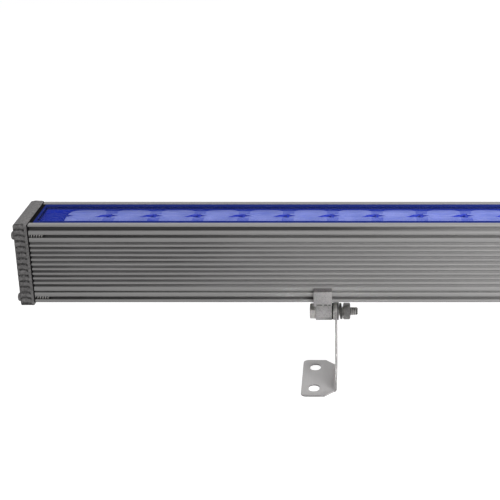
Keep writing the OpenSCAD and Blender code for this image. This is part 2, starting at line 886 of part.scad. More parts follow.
module clip(side) { color([0.6, 0.6, 0.59]) at_body() at_clip(side) clip_shape(); }
module clip_pads(side) { color([0.2, 0.2, 0.2]) at_body() at_clip(side) clip_pads_shape(); }
module pivot_bolt(side) { color([0.6, 0.6, 0.6]) at_pivot(side) bolt_shape(); }
module bracket(side) { color([0.65, 0.64, 0.63]) at_clip(side) bracket_shape(); }
module nut(side) { color([0.55, 0.55, 0.55]) at_pivot(side) nut_shape(); }

module friction_ring(side) {
    color([0.08, 0.08, 0.08]) at_pivot(side)
        ring_x(lug_x, friction_t, friction_r, washer_bore_r);
}

module inner_washer(side) {
    color([0.55, 0.55, 0.55]) at_pivot(side)
        ring_x(lug_x + friction_t, washer_t, washer_r, washer_bore_r);
}

module outer_washer(side) {
    color([0.55, 0.55, 0.55]) at_pivot(side) ring_x(outer_x, washer_t, washer_r, washer_bore_r);
}

module spring_washer(side) {
    color([0.3, 0.3, 0.3]) at_pivot(side) spring_washer_shape();
}

housing();
left_end_cap();
right_end_cap();
left_cap_gasket();
right_cap_gasket();
left_cap_screws();
right_cap_screws();
cover_glass();
glass_gasket();
glass_end_seals();
lenses();
lens_frames();
led_emitters();
led_boards();
board_screws();
link_wires();
feed_wires();
wire_grommet();
driver_board();
driver_coils();
driver_capacitors();
driver_heat_sink();
driver_terminals();
gland_body();
gland_ring();
gland_locknut();
gland_seal();
gland_nut();
clip(-1);  // left_clip
clip_pads(-1);  // left_clip_pads
pivot_bolt(-1);  // left_pivot_bolt
friction_ring(-1);  // left_friction_ring
inner_washer(-1);  // left_inner_washer
bracket(-1);  // left_bracket
outer_washer(-1);  // left_outer_washer
spring_washer(-1);  // left_spring_washer
nut(-1);  // left_nut
clip(1);  // right_clip
clip_pads(1);  // right_clip_pads
pivot_bolt(1);  // right_pivot_bolt
friction_ring(1);  // right_friction_ring
inner_washer(1);  // right_inner_washer
bracket(1);  // right_bracket
outer_washer(1);  // right_outer_washer
spring_washer(1);  // right_spring_washer
nut(1);  // right_nut
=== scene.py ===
# %% [markdown]
# # Outdoor wall washer light
# The lamp is a long aluminium bar with a row of LED lenses under a glass. Its working model comes
# from CAD: this script loads it, gives each piece its finish, and rebuilds the pieces whose
# surface shows more than the CAD solids hold, such as rounded edges, threads and cast ribs.

# %% Load the working model
import json
from functools import partialmethod
from math import acos, asin, atan2, cos, degrees, hypot, pi, radians, sin
import bpy
import bmesh
from mathutils import Euler, Matrix, Vector


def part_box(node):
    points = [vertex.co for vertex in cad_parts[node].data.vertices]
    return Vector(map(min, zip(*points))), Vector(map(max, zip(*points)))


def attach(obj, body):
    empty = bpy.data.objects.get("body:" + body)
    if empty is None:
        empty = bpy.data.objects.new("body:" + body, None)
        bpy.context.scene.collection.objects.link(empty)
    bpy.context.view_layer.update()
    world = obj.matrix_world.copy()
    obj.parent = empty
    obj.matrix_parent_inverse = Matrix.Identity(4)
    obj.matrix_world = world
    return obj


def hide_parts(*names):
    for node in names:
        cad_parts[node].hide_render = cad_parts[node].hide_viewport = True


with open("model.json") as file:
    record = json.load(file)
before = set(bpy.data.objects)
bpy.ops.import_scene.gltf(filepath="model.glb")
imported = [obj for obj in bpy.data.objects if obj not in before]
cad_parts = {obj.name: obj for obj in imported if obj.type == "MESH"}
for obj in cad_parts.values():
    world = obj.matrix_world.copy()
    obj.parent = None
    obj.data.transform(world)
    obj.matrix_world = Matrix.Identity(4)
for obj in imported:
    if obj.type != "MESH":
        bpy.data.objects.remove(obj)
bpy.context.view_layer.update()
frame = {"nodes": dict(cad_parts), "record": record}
MM = 0.001


def box_mm(node):
    """Lowest and highest corner of a CAD node, in millimetres."""
    return [Vector(corner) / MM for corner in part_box(node)]


def add_object(name, data):
    """A new object in the scene that shows this data."""
    thing = bpy.data.objects.new(name, data)
    bpy.context.scene.collection.objects.link(thing)
    return thing


# %% [markdown]
# The photograph was taken from a little above, level with the lamp's left half, so its lines
# along the lamp stay level. The camera stands where the rims, the ribs and the bracket's foot
# all land on the photograph's rows. A sideways shift frames the left end.

# %% Camera
housing_low, housing_high = box_mm("housing")
FOCAL_PX = 1186.0
FRAME_PX = 500.0
SENSOR_MM = 36.0
CAMERA_PITCH_DEG = 21.3
CAMERA_COLUMN_PX = 355.0
CAMERA_X = -212.3
CAMERA_BEFORE_FACE = 935.4
CAMERA_ABOVE_RIM = 342.2


def add_camera():
    data = bpy.data.cameras.new("photo_camera")
    data.sensor_width = SENSOR_MM
    data.lens = FOCAL_PX / FRAME_PX * SENSOR_MM
    data.shift_x = (FRAME_PX / 2 - CAMERA_COLUMN_PX) / FRAME_PX
    data.clip_start = 0.05
    data.clip_end = 60.0
    camera = add_object("photo_camera", data)
    place = Vector((CAMERA_X, housing_low.y - CAMERA_BEFORE_FACE, housing_high.z + CAMERA_ABOVE_RIM))
    camera.location = place * MM
    camera.rotation_euler = Euler((radians(90.0 - CAMERA_PITCH_DEG), 0.0, 0.0))
    bpy.context.scene.camera = camera
    print("camera at", [round(v, 3) for v in camera.location], "lens", round(data.lens, 1), "mm")


add_camera()

# %% [markdown]
# Materials and Geometry Nodes are both trees of nodes. One helper adds a node and feeds its
# inputs. It hands back the node's output as a wire, and a sum with a wire adds a Math node, so
# that each tree below reads as a short recipe.

# %% Node helpers


class Wire:
    """A node's output on its way to other nodes. A sum with it adds a Math node."""

    def __init__(self, socket):
        self.socket = socket
        self.node = socket.node
        self.tree = socket.id_data

    def __getitem__(self, name):
        """Another output of the same node."""
        return Wire(self.node.outputs[name])

    def math(self, operation, *others):
        """A Math node on this wire and others, or plain numbers."""
        node = self.tree.nodes.new("ShaderNodeMath")
        node.operation = operation
        for value, socket in zip((self, *others), node.inputs):
            feed(value, socket)
        return Wire(node.outputs[0])

    def then(self, kind, **named):
        """The next node, with this wire as its first input."""
        return add_node(self.tree, kind, self, **named)

    __add__ = partialmethod(math, "ADD")
    __sub__ = partialmethod(math, "SUBTRACT")
    __mul__ = partialmethod(math, "MULTIPLY")
    __truediv__ = partialmethod(math, "DIVIDE")
    __pow__ = partialmethod(math, "POWER")
    __gt__ = partialmethod(math, "GREATER_THAN")
    __lt__ = partialmethod(math, "LESS_THAN")
    __abs__ = partialmethod(math, "ABSOLUTE")


def feed(value, socket):
    """Links a wire to a socket, or sets the socket to a plain value."""
    if isinstance(value, Wire):
        value.tree.links.new(value.socket, socket)
    else:
        socket.default_value = value


def add_node(tree, kind, first=None, **named):
    """Adds a node, feeds its first input, and returns its first output as a wire.

    A name in small letters is an option of the node, and one with a capital is an input.
    """
    node = tree.nodes.new(kind)
    for name, value in named.items():
        if name[0].islower():
            setattr(node, name, value)
        else:
            feed(value, node.inputs[name.replace("_", " ")])
    if first is not None:
        feed(first, node.inputs[0])
    return Wire(node.outputs[0])


def attribute(tree, name):
    """A number that the mesh carries under this name."""
    return add_node(tree, "ShaderNodeAttribute", attribute_name=name)["Fac"]


def split(wire):
    """A vector's parts, by the names X, Y and Z."""
    return wire.then("ShaderNodeSeparateXYZ")


def vector(tree, **parts):
    """A vector from parts named X, Y and Z. A part that isn't given is 0."""
    return add_node(tree, "ShaderNodeCombineXYZ", **parts)


# %% [markdown]
# Each finish is a Principled shader whose colour, roughness and bump come from noise in the
# object's own metres. A stretched noise gives the draw lines of an extrusion, a fine round one
# the grain of a casting. The helpers below are the few moves that all the finishes share.
# Colours are written as they look on a screen, from 0 to 255.

# %% Finish helpers
finishes = {}


def srgb(colour):
    """Screen colour from 0 to 255 as the linear colour that a shader takes."""
    parts = [v / 255.0 for v in colour]
    return [v / 12.92 if v <= 0.04045 else ((v + 0.055) / 1.055) ** 2.4 for v in parts] + [1.0]


def new_finish(slot, metallic=0.0, roughness=0.5, specular=0.5):
    """Starts a material named after its slot and returns its tree and shader."""
    material = bpy.data.materials.new(slot)
    material.use_nodes = True
    shader = material.node_tree.nodes["Principled BSDF"]
    shader.inputs["Metallic"].default_value = metallic
    shader.inputs["Roughness"].default_value = roughness
    shader.inputs["Specular IOR Level"].default_value = specular
    finishes[slot] = material
    return material.node_tree, shader


def noise(tree, per_metre, stretch=(1.0, 1.0, 1.0), detail=4.0, sharp=0.5):
    """Noise in object coordinates with so many waves in a metre, squeezed by stretch."""
    place = add_node(tree, "ShaderNodeTexCoord")["Object"]
    squeezed = place.then("ShaderNodeMapping", Scale=stretch)
    return squeezed.then("ShaderNodeTexNoise", Scale=per_metre, Detail=detail,
                         Roughness=sharp)["Fac"]


def tint(shader, mix, low, high, start=0.3, end=0.7, sunk=None):
    """Base colour from low to high as the mix goes from start to end.

    sunk is the place and the colour of one more stop, for painted shade in deep places and creases.
    """
    ramp = mix.then("ShaderNodeValToRGB")
    stops = ramp.node.color_ramp.elements
    for stop, place, colour in ((stops[0], start, low), (stops[1], end, high)):
        stop.position = place
        stop.color = srgb(colour)
    if sunk:
        stops.new(sunk[0]).color = srgb(sunk[1])
    feed(ramp, shader.inputs["Base Color"])


def vary_roughness(shader, mix, low, high):
    """Roughness between low and high as the mix goes from 0.3 to 0.7."""
    spread = mix.then("ShaderNodeMapRange", From_Min=0.3, From_Max=0.7, To_Min=low, To_Max=high)
    feed(spread, shader.inputs["Roughness"])


def rough_up(shader, height, depth_mm, strength):
    """Bump of this depth from a height pattern."""
    bump = add_node(height.tree, "ShaderNodeBump", Height=height, Distance=depth_mm * MM,
                    Strength=strength)
    feed(bump, shader.inputs["Normal"])


# %% [markdown]
# ## Metal finishes
# The bar is drawn through a die and anodised, so fine lines run along X and it shines softly.
# Its flutes get painted shade, full at the left end and fading along the bar, and in the groove
# under the rim some painted shade stays over the whole length. The caps are cast: coarse grey
# grain, almost no shine, and painted shade in the valleys between the ribs. The clips are
# blasted, which leaves small dark pits, and their nicks get painted shade. The brackets are
# brushed sheet with painted shade on their cut edges. Small steel parts share one recipe: the
# nuts and outer washers take a darker copy of it as painted shade, and a near-black finish paints
# shade at the bottom of the cap screws' threads.

# %% Metal finishes
# The painted shade in the flutes starts to fade one run before its end and is gone there, in metres
# along X
SHADE_FADE_RUN = 0.29
SHADE_FADE_END = -0.11
RECESS_SHADE = 0.34
RIM_SHADE = 0.3


def anodised_extrusion():
    tree, shader = new_finish("anodised_extrusion", metallic=0.15, specular=0.12)
    lines = noise(tree, 420.0, stretch=(0.012, 1.0, 1.0), detail=5.0, sharp=0.6)
    clouds = noise(tree, 14.0, detail=2.0)
    # The recess mark says where the bar lies deep; the finish paints shade there, full at the left
    # end, fading along X, and partly kept in the rim groove.
    recess = attribute(tree, "recess")
    along = split(add_node(tree, "ShaderNodeTexCoord")["Object"])["X"]
    shade_fade = ((along * -1.0 + SHADE_FADE_END) / SHADE_FADE_RUN).math("MAXIMUM", 0.0).math("MINIMUM", 1.0)
    shade_in_rim = (recess - 1.0).math("MAXIMUM", 0.0)
    # Painted shade in the flutes, hollows and rim groove.
    dark = recess * shade_fade * RECESS_SHADE + shade_in_rim * RIM_SHADE
    tone = clouds * 0.12 + lines * 0.65 + 0.115 - dark
    tint(shader, tone, (137, 136, 136), (155, 154, 153), sunk=(0.08, (78, 77, 77)))
    vary_roughness(shader, lines, 0.34, 0.46)
    rough_up(shader, lines, 0.03, strength=0.25)


def cast_cap():
    tree, shader = new_finish("cast_cap", metallic=0.15, specular=0.25)
    patches = noise(tree, 160.0, detail=3.0)
    both = patches * 0.12 + noise(tree, 520.0, detail=6.0, sharp=0.75) * 0.88
    # Grain, with the rib tree's mark darkening the valleys between the ribs as painted shade.
    grain_and_shade = both * 1.7 - 0.35 - attribute(tree, "crease_shade") * 0.8
    tint(shader, grain_and_shade, (36, 35, 35), (150, 148, 148), 0.0, 0.8)
    vary_roughness(shader, patches, 0.66, 0.86)
    rough_up(shader, both, 0.6, strength=0.8)


def blasted_clip():
    tree, shader = new_finish("blasted_clip", metallic=0.3, specular=0.3)
    grain = noise(tree, 1100.0, detail=5.0, sharp=0.65)
    both = noise(tree, 700.0, detail=2.0) * 0.3 + grain * 0.7
    # The crease mark darkens the nicks on the hooks as painted shade.
    shown = both - attribute(tree, "crease_shade") * 0.5
    tint(shader, shown, (125, 123, 124), (157, 155, 155), 0.36, 0.56, sunk=(0.05, (46, 44, 44)))
    vary_roughness(shader, grain, 0.52, 0.7)
    rough_up(shader, both, 0.2, strength=0.5)


def bracket_steel():
    tree, shader = new_finish("bracket_steel", metallic=0.4, specular=0.35)
    brushed = noise(tree, 700.0, stretch=(1.0, 0.03, 1.0))
    both = brushed * 0.3 + noise(tree, 1300.0, detail=3.0) * 0.7
    # The cut mark darkens the sheet's edges as painted shade.
    shown = both - attribute(tree, "cut") * 0.4
    tint(shader, shown, (162, 160, 160), (188, 186, 186), sunk=(0.05, (112, 110, 110)))
    vary_roughness(shader, brushed, 0.4, 0.56)
    rough_up(shader, both, 0.04, strength=0.4)


def plain_metal(slot, dark, light, metallic, low_rough, high_rough):
    tree, shader = new_finish(slot, metallic=metallic, specular=0.4)
    wear = noise(tree, 380.0, detail=5.0, sharp=0.6)
    # The crease mark paints shade into the bottom of a bolt's thread.
    shown = wear - attribute(tree, "crease_shade") * 0.6
    tint(shader, shown, dark, light, sunk=(0.0, (22, 21, 21)))
    vary_roughness(shader, wear, low_rough, high_rough)
    rough_up(shader, wear, 0.05, strength=0.3)


anodised_extrusion()
cast_cap()
blasted_clip()
bracket_steel()
plain_metal("bolt_steel", (144, 142, 141), (184, 182, 180), 0.6, 0.28, 0.45)
# A darker copy of the bolts' steel for the nuts and outer washers: painted shade.
plain_metal("nut_steel_shaded", (84, 83, 83), (128, 126, 125), 0.6, 0.28, 0.45)
# Near-black for the bottom of the cap screws' threads: painted shade.
plain_metal("thread_shade", (8, 8, 8), (26, 25, 25), 0.0, 0.6, 0.8)
plain_metal("spring_steel", (48, 47, 47), (84, 82, 82), 0.5, 0.32, 0.5)
plain_metal("screw_steel", (96, 94, 94), (130, 128, 128), 0.4, 0.45, 0.62)
plain_metal("coil_copper", (150, 84, 40), (200, 122, 66), 0.7, 0.3, 0.45)
print("metal finishes:", sorted(finishes))

# %% [markdown]
# ## Plastic, rubber and glass finishes
# The lenses are clear mouldings whose light blue is a painted glow from below; fine streaks run
# along the row.
# The trays under them are deep blue. The cover glass must let light through to both. A clear
# shader with a tenth of blue body does that and leaves the lamps' light inside it. The printed
# border is navy from above; the glass's sides and underside take a paler copy of it, painted light
# against the shade of the top border. Clip pads are dusty, so they are greyer than the other
# rubber.

# %% Plastic, rubber and glass finishes


def lens_plastic():
    tree, shader = new_finish("lens_plastic", roughness=0.4, specular=0.0)
    streaks = noise(tree, 420.0, stretch=(0.07, 1.0, 1.0), detail=3.0, sharp=0.55)
    # The deep mark paints shade, as a deeper blue, in the notches and between the lenses.
    shown = noise(tree, 70.0, detail=2.0) * 0.4 + streaks * 0.6 - attribute(tree, "deep_shade")
    # The light blue base colour is the LEDs' glow, painted.
    tint(shader, shown, (134, 150, 228), (168, 180, 246), 0.36, 0.64, sunk=(0.0, (60, 78, 206)))
    rough_up(shader, streaks, 0.1, strength=0.3)


def frame_plastic():
    tree, shader = new_finish("frame_plastic", specular=0.0)
    grain = noise(tree, 900.0, detail=2.0)
    sheen = noise(tree, 60.0, stretch=(0.25, 1.0, 1.0), detail=3.0)
    tint(shader, sheen, (36, 56, 180), (50, 74, 204))
    vary_roughness(shader, grain, 0.45, 0.6)
    rough_up(shader, grain, 0.04, strength=0.3)


def cover_glass():
    tree, shader = new_finish("cover_glass", specular=0.04)
    shader.inputs["Alpha"].default_value = 0.1
    haze = noise(tree, 6.0, stretch=(0.3, 1.0, 1.0), detail=2.0)
    tint(shader, haze, (52, 66, 186), (62, 78, 200))
    vary_roughness(shader, haze, 0.06, 0.1)


def plain_moulding(slot, dark, light, low_rough, high_rough, per_metre=600.0, depth_mm=0.06,
                   specular=0.3):
    tree, shader = new_finish(slot, specular=specular)
    grain = noise(tree, per_metre, sharp=0.6)
    tint(shader, grain, dark, light)
    vary_roughness(shader, grain, low_rough, high_rough)
    rough_up(shader, grain, depth_mm, strength=0.4)


lens_plastic()
frame_plastic()
cover_glass()
plain_moulding("black_rubber", (20, 20, 21), (40, 39, 40), 0.7, 0.88, 900.0, 0.1, 0.0)
plain_moulding("pad_rubber", (70, 68, 69), (108, 105, 106), 0.7, 0.88, 900.0, 0.2, 0.1)
plain_moulding("glass_border", (38, 50, 124), (44, 58, 134), 0.3, 0.4, 300.0, 0.01, 0.0)
# A paler copy of the border for the glass's sides and underside: painted light where the top border
# shades them.
plain_moulding("under_border_lit", (54, 70, 168), (60, 78, 178), 0.3, 0.4, 300.0, 0.01, 0.0)
plain_moulding("gland_nylon", (42, 42, 44), (62, 62, 64), 0.42, 0.6)
plain_moulding("led_phosphor", (226, 204, 120), (244, 226, 150), 0.25, 0.4)
plain_moulding("led_board", (206, 206, 202), (232, 232, 228), 0.4, 0.55)
plain_moulding("red_wire", (176, 30, 24), (206, 48, 38), 0.35, 0.5)
plain_moulding("driver_board", (20, 84, 44), (32, 108, 60), 0.35, 0.5)
plain_moulding("capacitor_sleeve", (30, 36, 72), (46, 54, 96), 0.28, 0.4)
plain_moulding("terminal_plastic", (26, 98, 62), (40, 124, 80), 0.4, 0.55)
print("all finishes:", len(finishes))

# %% [markdown]
# ## Dress the pieces that CAD already shapes right
# A CAD node keeps its mesh and only gets its finish. The record says which slot each node takes.
# The gasket under the glass takes the printed border's colour.

# %% Finish the CAD nodes
slot_of = {part["node"]: part["material_slot"] for part in frame["record"]["subparts"]}
slot_of["glass_gasket"] = "glass_border"
for node_name, cad_piece in frame["nodes"].items():
    cad_piece.data.materials.clear()
    cad_piece.data.materials.append(finishes[slot_of[node_name]])
print("dressed", len(slot_of), "nodes")

# %% [markdown]
# ## Helpers for new pieces
# A new piece is a plain mesh in the lamp's own place. It rides on one of the working bodies and
# stands for the CAD nodes that it replaces. The right clip and bracket are the left ones turned
# half round, so the same mesh serves both ends.

# %% Mesh helpers
SHARP_DEG = 38.0
BEVEL_FROM_DEG = 32.0
FLAT_WITHIN_DEG = 1.5
SAME_POINT_MM = 0.002
HALF_HEX_SIDE = radians(30.0)


def opened(*meshes):
    """A bmesh that holds these meshes."""
    bm = bmesh.new()
    for mesh in meshes:
        bm.from_mesh(mesh)
    return bm


def mesh_from(bm, outwards=True):
    """Turns a bmesh into a mesh, and first turns all its faces outwards if asked."""
    if outwards:
        bmesh.ops.recalc_face_normals(bm, faces=bm.faces)
    mesh = bpy.data.meshes.new("shape")
    bm.to_mesh(mesh)
    bm.free()
    return mesh


def join_meshes(*meshes):
    """One mesh out of several."""
    return mesh_from(opened(*meshes), outwards=False)


def merged_cad(node):
    """Copy of a CAD node's mesh with its loose triangles joined into clean faces."""
    bm = opened(frame["nodes"][node].data)
    bmesh.ops.remove_doubles(bm, verts=bm.verts, dist=SAME_POINT_MM * MM)
    bmesh.ops.dissolve_limit(bm, angle_limit=radians(FLAT_WITHIN_DEG), verts=bm.verts,
                             edges=bm.edges)
    return mesh_from(bm, outwards=False)


def half_turned(mesh):
    """Copy of a left piece's mesh, turned half round for the right end."""
    turned = mesh.copy()
    turned.transform(Matrix.Rotation(pi, 4, "Z"))
    return turned


def mark_faces(mesh, name, rule):
    """Stores a number on each face for its finish. The rule gets its middle in mm and the face."""
    marks = mesh.attributes.new(name, "FLOAT", "FACE")
    for face in mesh.polygons:
        marks.data[face.index].value = rule(face.center / MM, face)


def evaluated(mesh, modifiers):
    """The plain mesh that a mesh becomes under modifiers, each given by kind and settings."""
    holder = add_object("holder", mesh)
    for kind, settings in modifiers:
        modifier = holder.modifiers.new(kind, kind)
        for name, value in settings.items():
            if name.startswith("Socket_"):
                modifier[name] = value
            else:
                setattr(modifier, name, value)
    bpy.context.view_layer.update()
    graph = bpy.context.evaluated_depsgraph_get()
    result = bpy.data.meshes.new_from_object(holder.evaluated_get(graph), depsgraph=graph)
    bpy.data.objects.remove(holder)
    return result


def with_bevel(mesh, width_mm, segments=2):
    """Rounds every edge that turns by more than BEVEL_FROM_DEG."""
    return evaluated(mesh, [("BEVEL", {
        "width": width_mm * MM, "segments": segments, "limit_method": "ANGLE",
        "angle_limit": radians(BEVEL_FROM_DEG), "use_clamp_overlap": True})])


def cut_from(mesh, cutters):
    """Takes each cutter's volume out of the mesh."""
    tools = [add_object("cutter", cutter) for cutter in cutters]
    result = evaluated(mesh, [("BOOLEAN", {"operation": "DIFFERENCE", "solver": "EXACT",
                                           "object": tool}) for tool in tools])
    for tool in tools:
        bpy.data.objects.remove(tool)
    return result


# %% Shape helpers


def skin(rings, capped=False):
    """Mesh over neighbouring rings of points in millimetres. A ring of one point is a pole."""
    bm = bmesh.new()
    rings = [[bm.verts.new(Vector(point) * MM) for point in ring] for ring in rings]
    steps = max(len(ring) for ring in rings)
    for first, second in zip(rings, rings[1:]):
        for i in range(steps):
            j = (i + 1) % steps
            loop = [first[i % len(first)], first[j % len(first)],
                    second[j % len(second)], second[i % len(second)]]
            corners = list(dict.fromkeys(loop))
            if len(corners) > 2:
                bm.faces.new(corners)
    if capped:
        bm.faces.new(rings[0])
        bm.faces.new(rings[-1])
    return mesh_from(bm)


def lathe_x(profile, start, steps=40):
    """Turned shape from (x, radius) points, its axis along +X from a starting point."""
    x0, y, z = start
    turns = [2 * pi * i / steps for i in range(steps)]
    return skin([[(x0 + x, y + radius * cos(a), z + radius * sin(a))
                  for a in (turns if radius > 1e-6 else (0.0,))] for x, radius in profile])


def rod_x(x0, x1, radius, z):
    """Round bar along X in the lamp's middle plane."""
    profile = [(x0, 0.0), (x0, radius), (x1, radius), (x1, 0.0)]
    return lathe_x(profile, (0.0, 0.0, z), steps=64)


def box_grid(xs, ys, zs):
    """Closed box whose faces are grids along three lists of values in millimetres."""
    bm = bmesh.new()
    lattice = {}

    def vert(i, j, k):
        if (i, j, k) not in lattice:
            lattice[i, j, k] = bm.verts.new(Vector((xs[i], ys[j], zs[k])) * MM)
        return lattice[i, j, k]

    last = (len(xs) - 1, len(ys) - 1, len(zs) - 1)
    for axis in range(3):
        a, b = [n for n in range(3) if n != axis]
        for end in (0, last[axis]):
            for m in range(last[a]):
                for n in range(last[b]):
                    corners = []
                    for da, db in ((0, 0), (1, 0), (1, 1), (0, 1)):
                        spot = [0, 0, 0]
                        spot[axis], spot[a], spot[b] = end, m + da, n + db
                        corners.append(vert(*spot))
                    bm.faces.new(corners)
    return bm


def box_mesh(low, high):
    """Plain box between two corners in millimetres."""
    return mesh_from(box_grid(*zip(low, high)))


# %% Piece helpers


def shade(mesh, sharp_deg):
    """Smooth faces, with creases kept where the surface turns sharply."""
    bm = opened(mesh)
    for face in bm.faces:
        face.smooth = True
    for edge in bm.edges:
        if len(edge.link_faces) == 2:
            edge.smooth = edge.calc_face_angle(0.0) < radians(sharp_deg)
    bm.to_mesh(mesh)
    bm.free()


def add_piece(name, mesh, body, slot, nodes, sharp_deg=SHARP_DEG, finish=None):
    """Links the mesh as a finished piece on a body, in place of the CAD nodes."""
    shade(mesh, sharp_deg)
    mesh.name = name
    mesh.materials.clear()
    mesh.materials.append(finishes[finish or slot])
    piece = add_object(name, mesh)
    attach(piece, body)
    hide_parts(*nodes)
    return piece


def add_both_sides(name, mesh, body, slot, node, finish=None):
    """The left piece, and its copy turned half round for the right. Only the lamp is one body."""
    return [add_piece(f"{side}_{name}", shape, body if body == "lamp" else f"{side}_{body}", slot,
                      [f"{side}_{node}"], finish=finish)
            for side, shape in (("left", mesh), ("right", half_turned(mesh)))]


def vary_finish(piece, others, rule):
    """Adds more finishes to a piece. The rule gives each face the number of its finish."""
    for other in others:
        piece.data.materials.append(finishes[other])
    for face in piece.data.polygons:
        face.material_index = rule(face.center / MM, face)


# %% [markdown]
# ## Geometry Nodes helpers
# Each recipe is a function that gets an empty tree and its named inputs, and returns the wire
# with the finished shape. The first run builds the tree round it: one input for each value, and
# Realize Instances and Set Material at its end. A modifier takes a value by its socket's
# identifier, so the helper looks that up by name, runs the tree and keeps the plain mesh.
# Lengths and places are given in millimetres, like all the lamp's sizes here.

# %% Geometry Nodes helpers
SOCKETS = {float: "NodeSocketFloat", int: "NodeSocketInt", tuple: "NodeSocketVector",
           bpy.types.Material: "NodeSocketMaterial"}


def join(*wires):
    """Joins several geometries."""
    node = wires[0].tree.nodes.new("GeometryNodeJoinGeometry")
    for wire in reversed(wires):
        feed(wire, node.inputs[0])
    return Wire(node.outputs[0])


def build_tree(recipe, values):
    """A tree named after its recipe, with an input of the right kind for each value."""
    tree = bpy.data.node_groups.new(recipe.__name__, "GeometryNodeTree")
    for in_out in ("INPUT", "OUTPUT"):
        tree.interface.new_socket("Geometry", in_out=in_out, socket_type="NodeSocketGeometry")
    for name, value in values.items():
        tree.interface.new_socket(name, in_out="INPUT", socket_type=SOCKETS[type(value)])
    start = tree.nodes.new("NodeGroupInput")
    inputs = {socket.name: Wire(socket) for socket in start.outputs}
    real = recipe(tree, inputs).then("GeometryNodeRealizeInstances")
    dressed = real.then("GeometryNodeSetMaterial", Material=inputs["Finish"])
    feed(dressed, tree.nodes.new("NodeGroupOutput").inputs[0])
    return tree


def run_tree(recipe, seed, values):
    """Runs a recipe's tree on a seed mesh with these values and returns the plain mesh."""
    for name, value in values.items():
        if isinstance(value, (float, tuple)):
            values[name] = value * MM if isinstance(value, float) else tuple(v * MM for v in value)
    tree = bpy.data.node_groups.get(recipe.__name__) or build_tree(recipe, values)
    sockets = {item.identifier: values[item.name] for item in tree.interface.items_tree
               if item.in_out == "INPUT" and item.name in values}
    return evaluated(seed, [("NODES", {"node_group": tree, **sockets})])


# %% [markdown]
# ## The extruded housing
# The bar is one section drawn straight along X, so its shape is a rule: an outline, and a row of
# equal flutes at one pitch down each face. The outline's open ports, rims and hollows are drawn
# as points from the lamp's sizes. A node tree adds the flutes by counting, rounds every corner
# with Fillet Curve, fills the section and extrudes it. Rounded corners catch the light, which is
# what makes the ribs of the real bar read as soft bands. The grooves are drawn a little wider
# and deeper than in CAD, so that they read at the photograph's scale.

# %% Section sizes, in millimetres
body_w = housing_high.y - housing_low.y
body_h = housing_high.z - housing_low.z
body_z = housing_low.z
face_y = body_w / 2
flute_pitch = 4.28
flute_first = 15.6
flute_count = 10
flute_mouth = 2.8
flute_floor = 2.0
flute_depth = 2.4
port_r = 2.05
port_wall = 2.15
port_mouth = 2.9
port_y = face_y - 3.4
port_low = 3.9
port_high = body_h - 10.5
clip_groove = (9.0, 10.6)
rim_groove = (body_h - 5.8, body_h - 1.8)
rim_groove_depth = 3.8
rim_groove_lean = 0.4
window_y = face_y - 6.0
ledge_y = window_y - 2.1
ledge_z = body_h - 4.2
ledge_under = ledge_z - 2.0
side_y = face_y - 4.4
web_top = 51.8
web_low = 48.8
floor_top = 3.0
rails = ((12.3, 13.8), (15.8, 17.3))
rail_y = side_y - 3.0
corner_round = 0.6
print("section", round(body_w, 2), "x", round(body_h, 2), "mm")

# %% Draw the section's plain outline


def arc(y, z, radius, start_deg, end_deg, steps):
    """Points on a circle from one angle to another."""
    turn = (end_deg - start_deg) / steps
    angles = [radians(start_deg + turn * i) for i in range(steps + 1)]
    return [(y + radius * cos(a), z + radius * sin(a)) for a in angles]


def open_port(z):
    """Up the face past a screw port: in through the slot, round the bore and out again."""
    slot_deg = degrees(asin(port_mouth / 2 / port_r))
    bore = arc(port_y, z, port_r, -slot_deg, slot_deg - 360.0, 20)
    return [(face_y, z - port_mouth / 2)] + bore + [(face_y, z + port_mouth / 2)]


def port_bulge(z, top_deg, bottom_deg):
    """The port's wall where it bulges into a hollow, from above to below."""
    return arc(port_y, z, port_r + port_wall, top_deg, bottom_deg, 10)


def upper_chain():
    """Right half from the last flute up over the rim and down to the middle of the web."""
    last_mouth = flute_first + (flute_count - 1) * flute_pitch + flute_mouth / 2
    low, high = rim_groove
    floor_y = face_y - rim_groove_depth
    bulge_deg = degrees(acos((side_y - port_y) / (port_r + port_wall)))
    return [(face_y, last_mouth), *open_port(port_high), (face_y, low),
            (floor_y, low + rim_groove_lean), (floor_y, high - rim_groove_lean), (face_y, high),
            (face_y, body_h), (window_y, body_h), (window_y, ledge_z), (ledge_y, ledge_z),
            (ledge_y, ledge_under), (side_y, ledge_under),
            *port_bulge(port_high, bulge_deg, 360.0 - bulge_deg), (side_y, web_top)]


def lower_chain():
    """Right half from the first flute down to the bottom corner."""
    low, high = clip_groove
    floor_y = face_y - flute_depth
    return [(face_y, flute_first - flute_mouth / 2), (face_y, high), (floor_y, high),
            (floor_y, low), (face_y, low), *reversed(open_port(port_low)), (face_y, 0.0)]


def chamber_chain():
    """Right half of the driver's chamber, from under the web down to the floor."""
    radius = port_r + port_wall
    bulge_deg = degrees(acos((side_y - port_y) / radius))
    floor_deg = 180.0 + degrees(asin((port_low - floor_top) / radius))
    points = [(side_y, web_low)]
    for low, high in reversed(rails):
        points += [(side_y, high), (rail_y, high), (rail_y, low), (side_y, low)]
    return points + port_bulge(port_low, bulge_deg, floor_deg)


def section_outline():
    """The outline without flutes, as a mesh of edges lying in the XY plane."""
    bm = bmesh.new()
    for chain, closed in ((upper_chain(), False), (lower_chain(), False), (chamber_chain(), True)):
        points = chain + [(-y, z) for y, z in reversed(chain)]
        verts = [bm.verts.new((y * MM, z * MM, 0.0)) for y, z in points]
        for pair in zip(verts, verts[1:]):
            bm.edges.new(pair)
        if closed:
            bm.edges.new((verts[-1], verts[0]))
    return mesh_from(bm, outwards=False)


# %% [markdown]
# The flutes are one polyline of four points each. Point i belongs to flute floor(i / 4), and its
# remainder says whether it is on the mouth or the floor, below or above the middle. At the end
# the tree marks how deep a point lies, with more in the rim groove, for the finish's painted shade.

# %% Tree of the fluted bar
RIM_SHADE_WEIGHT = 0.6
SHADED_BEHIND_MM = 1.0


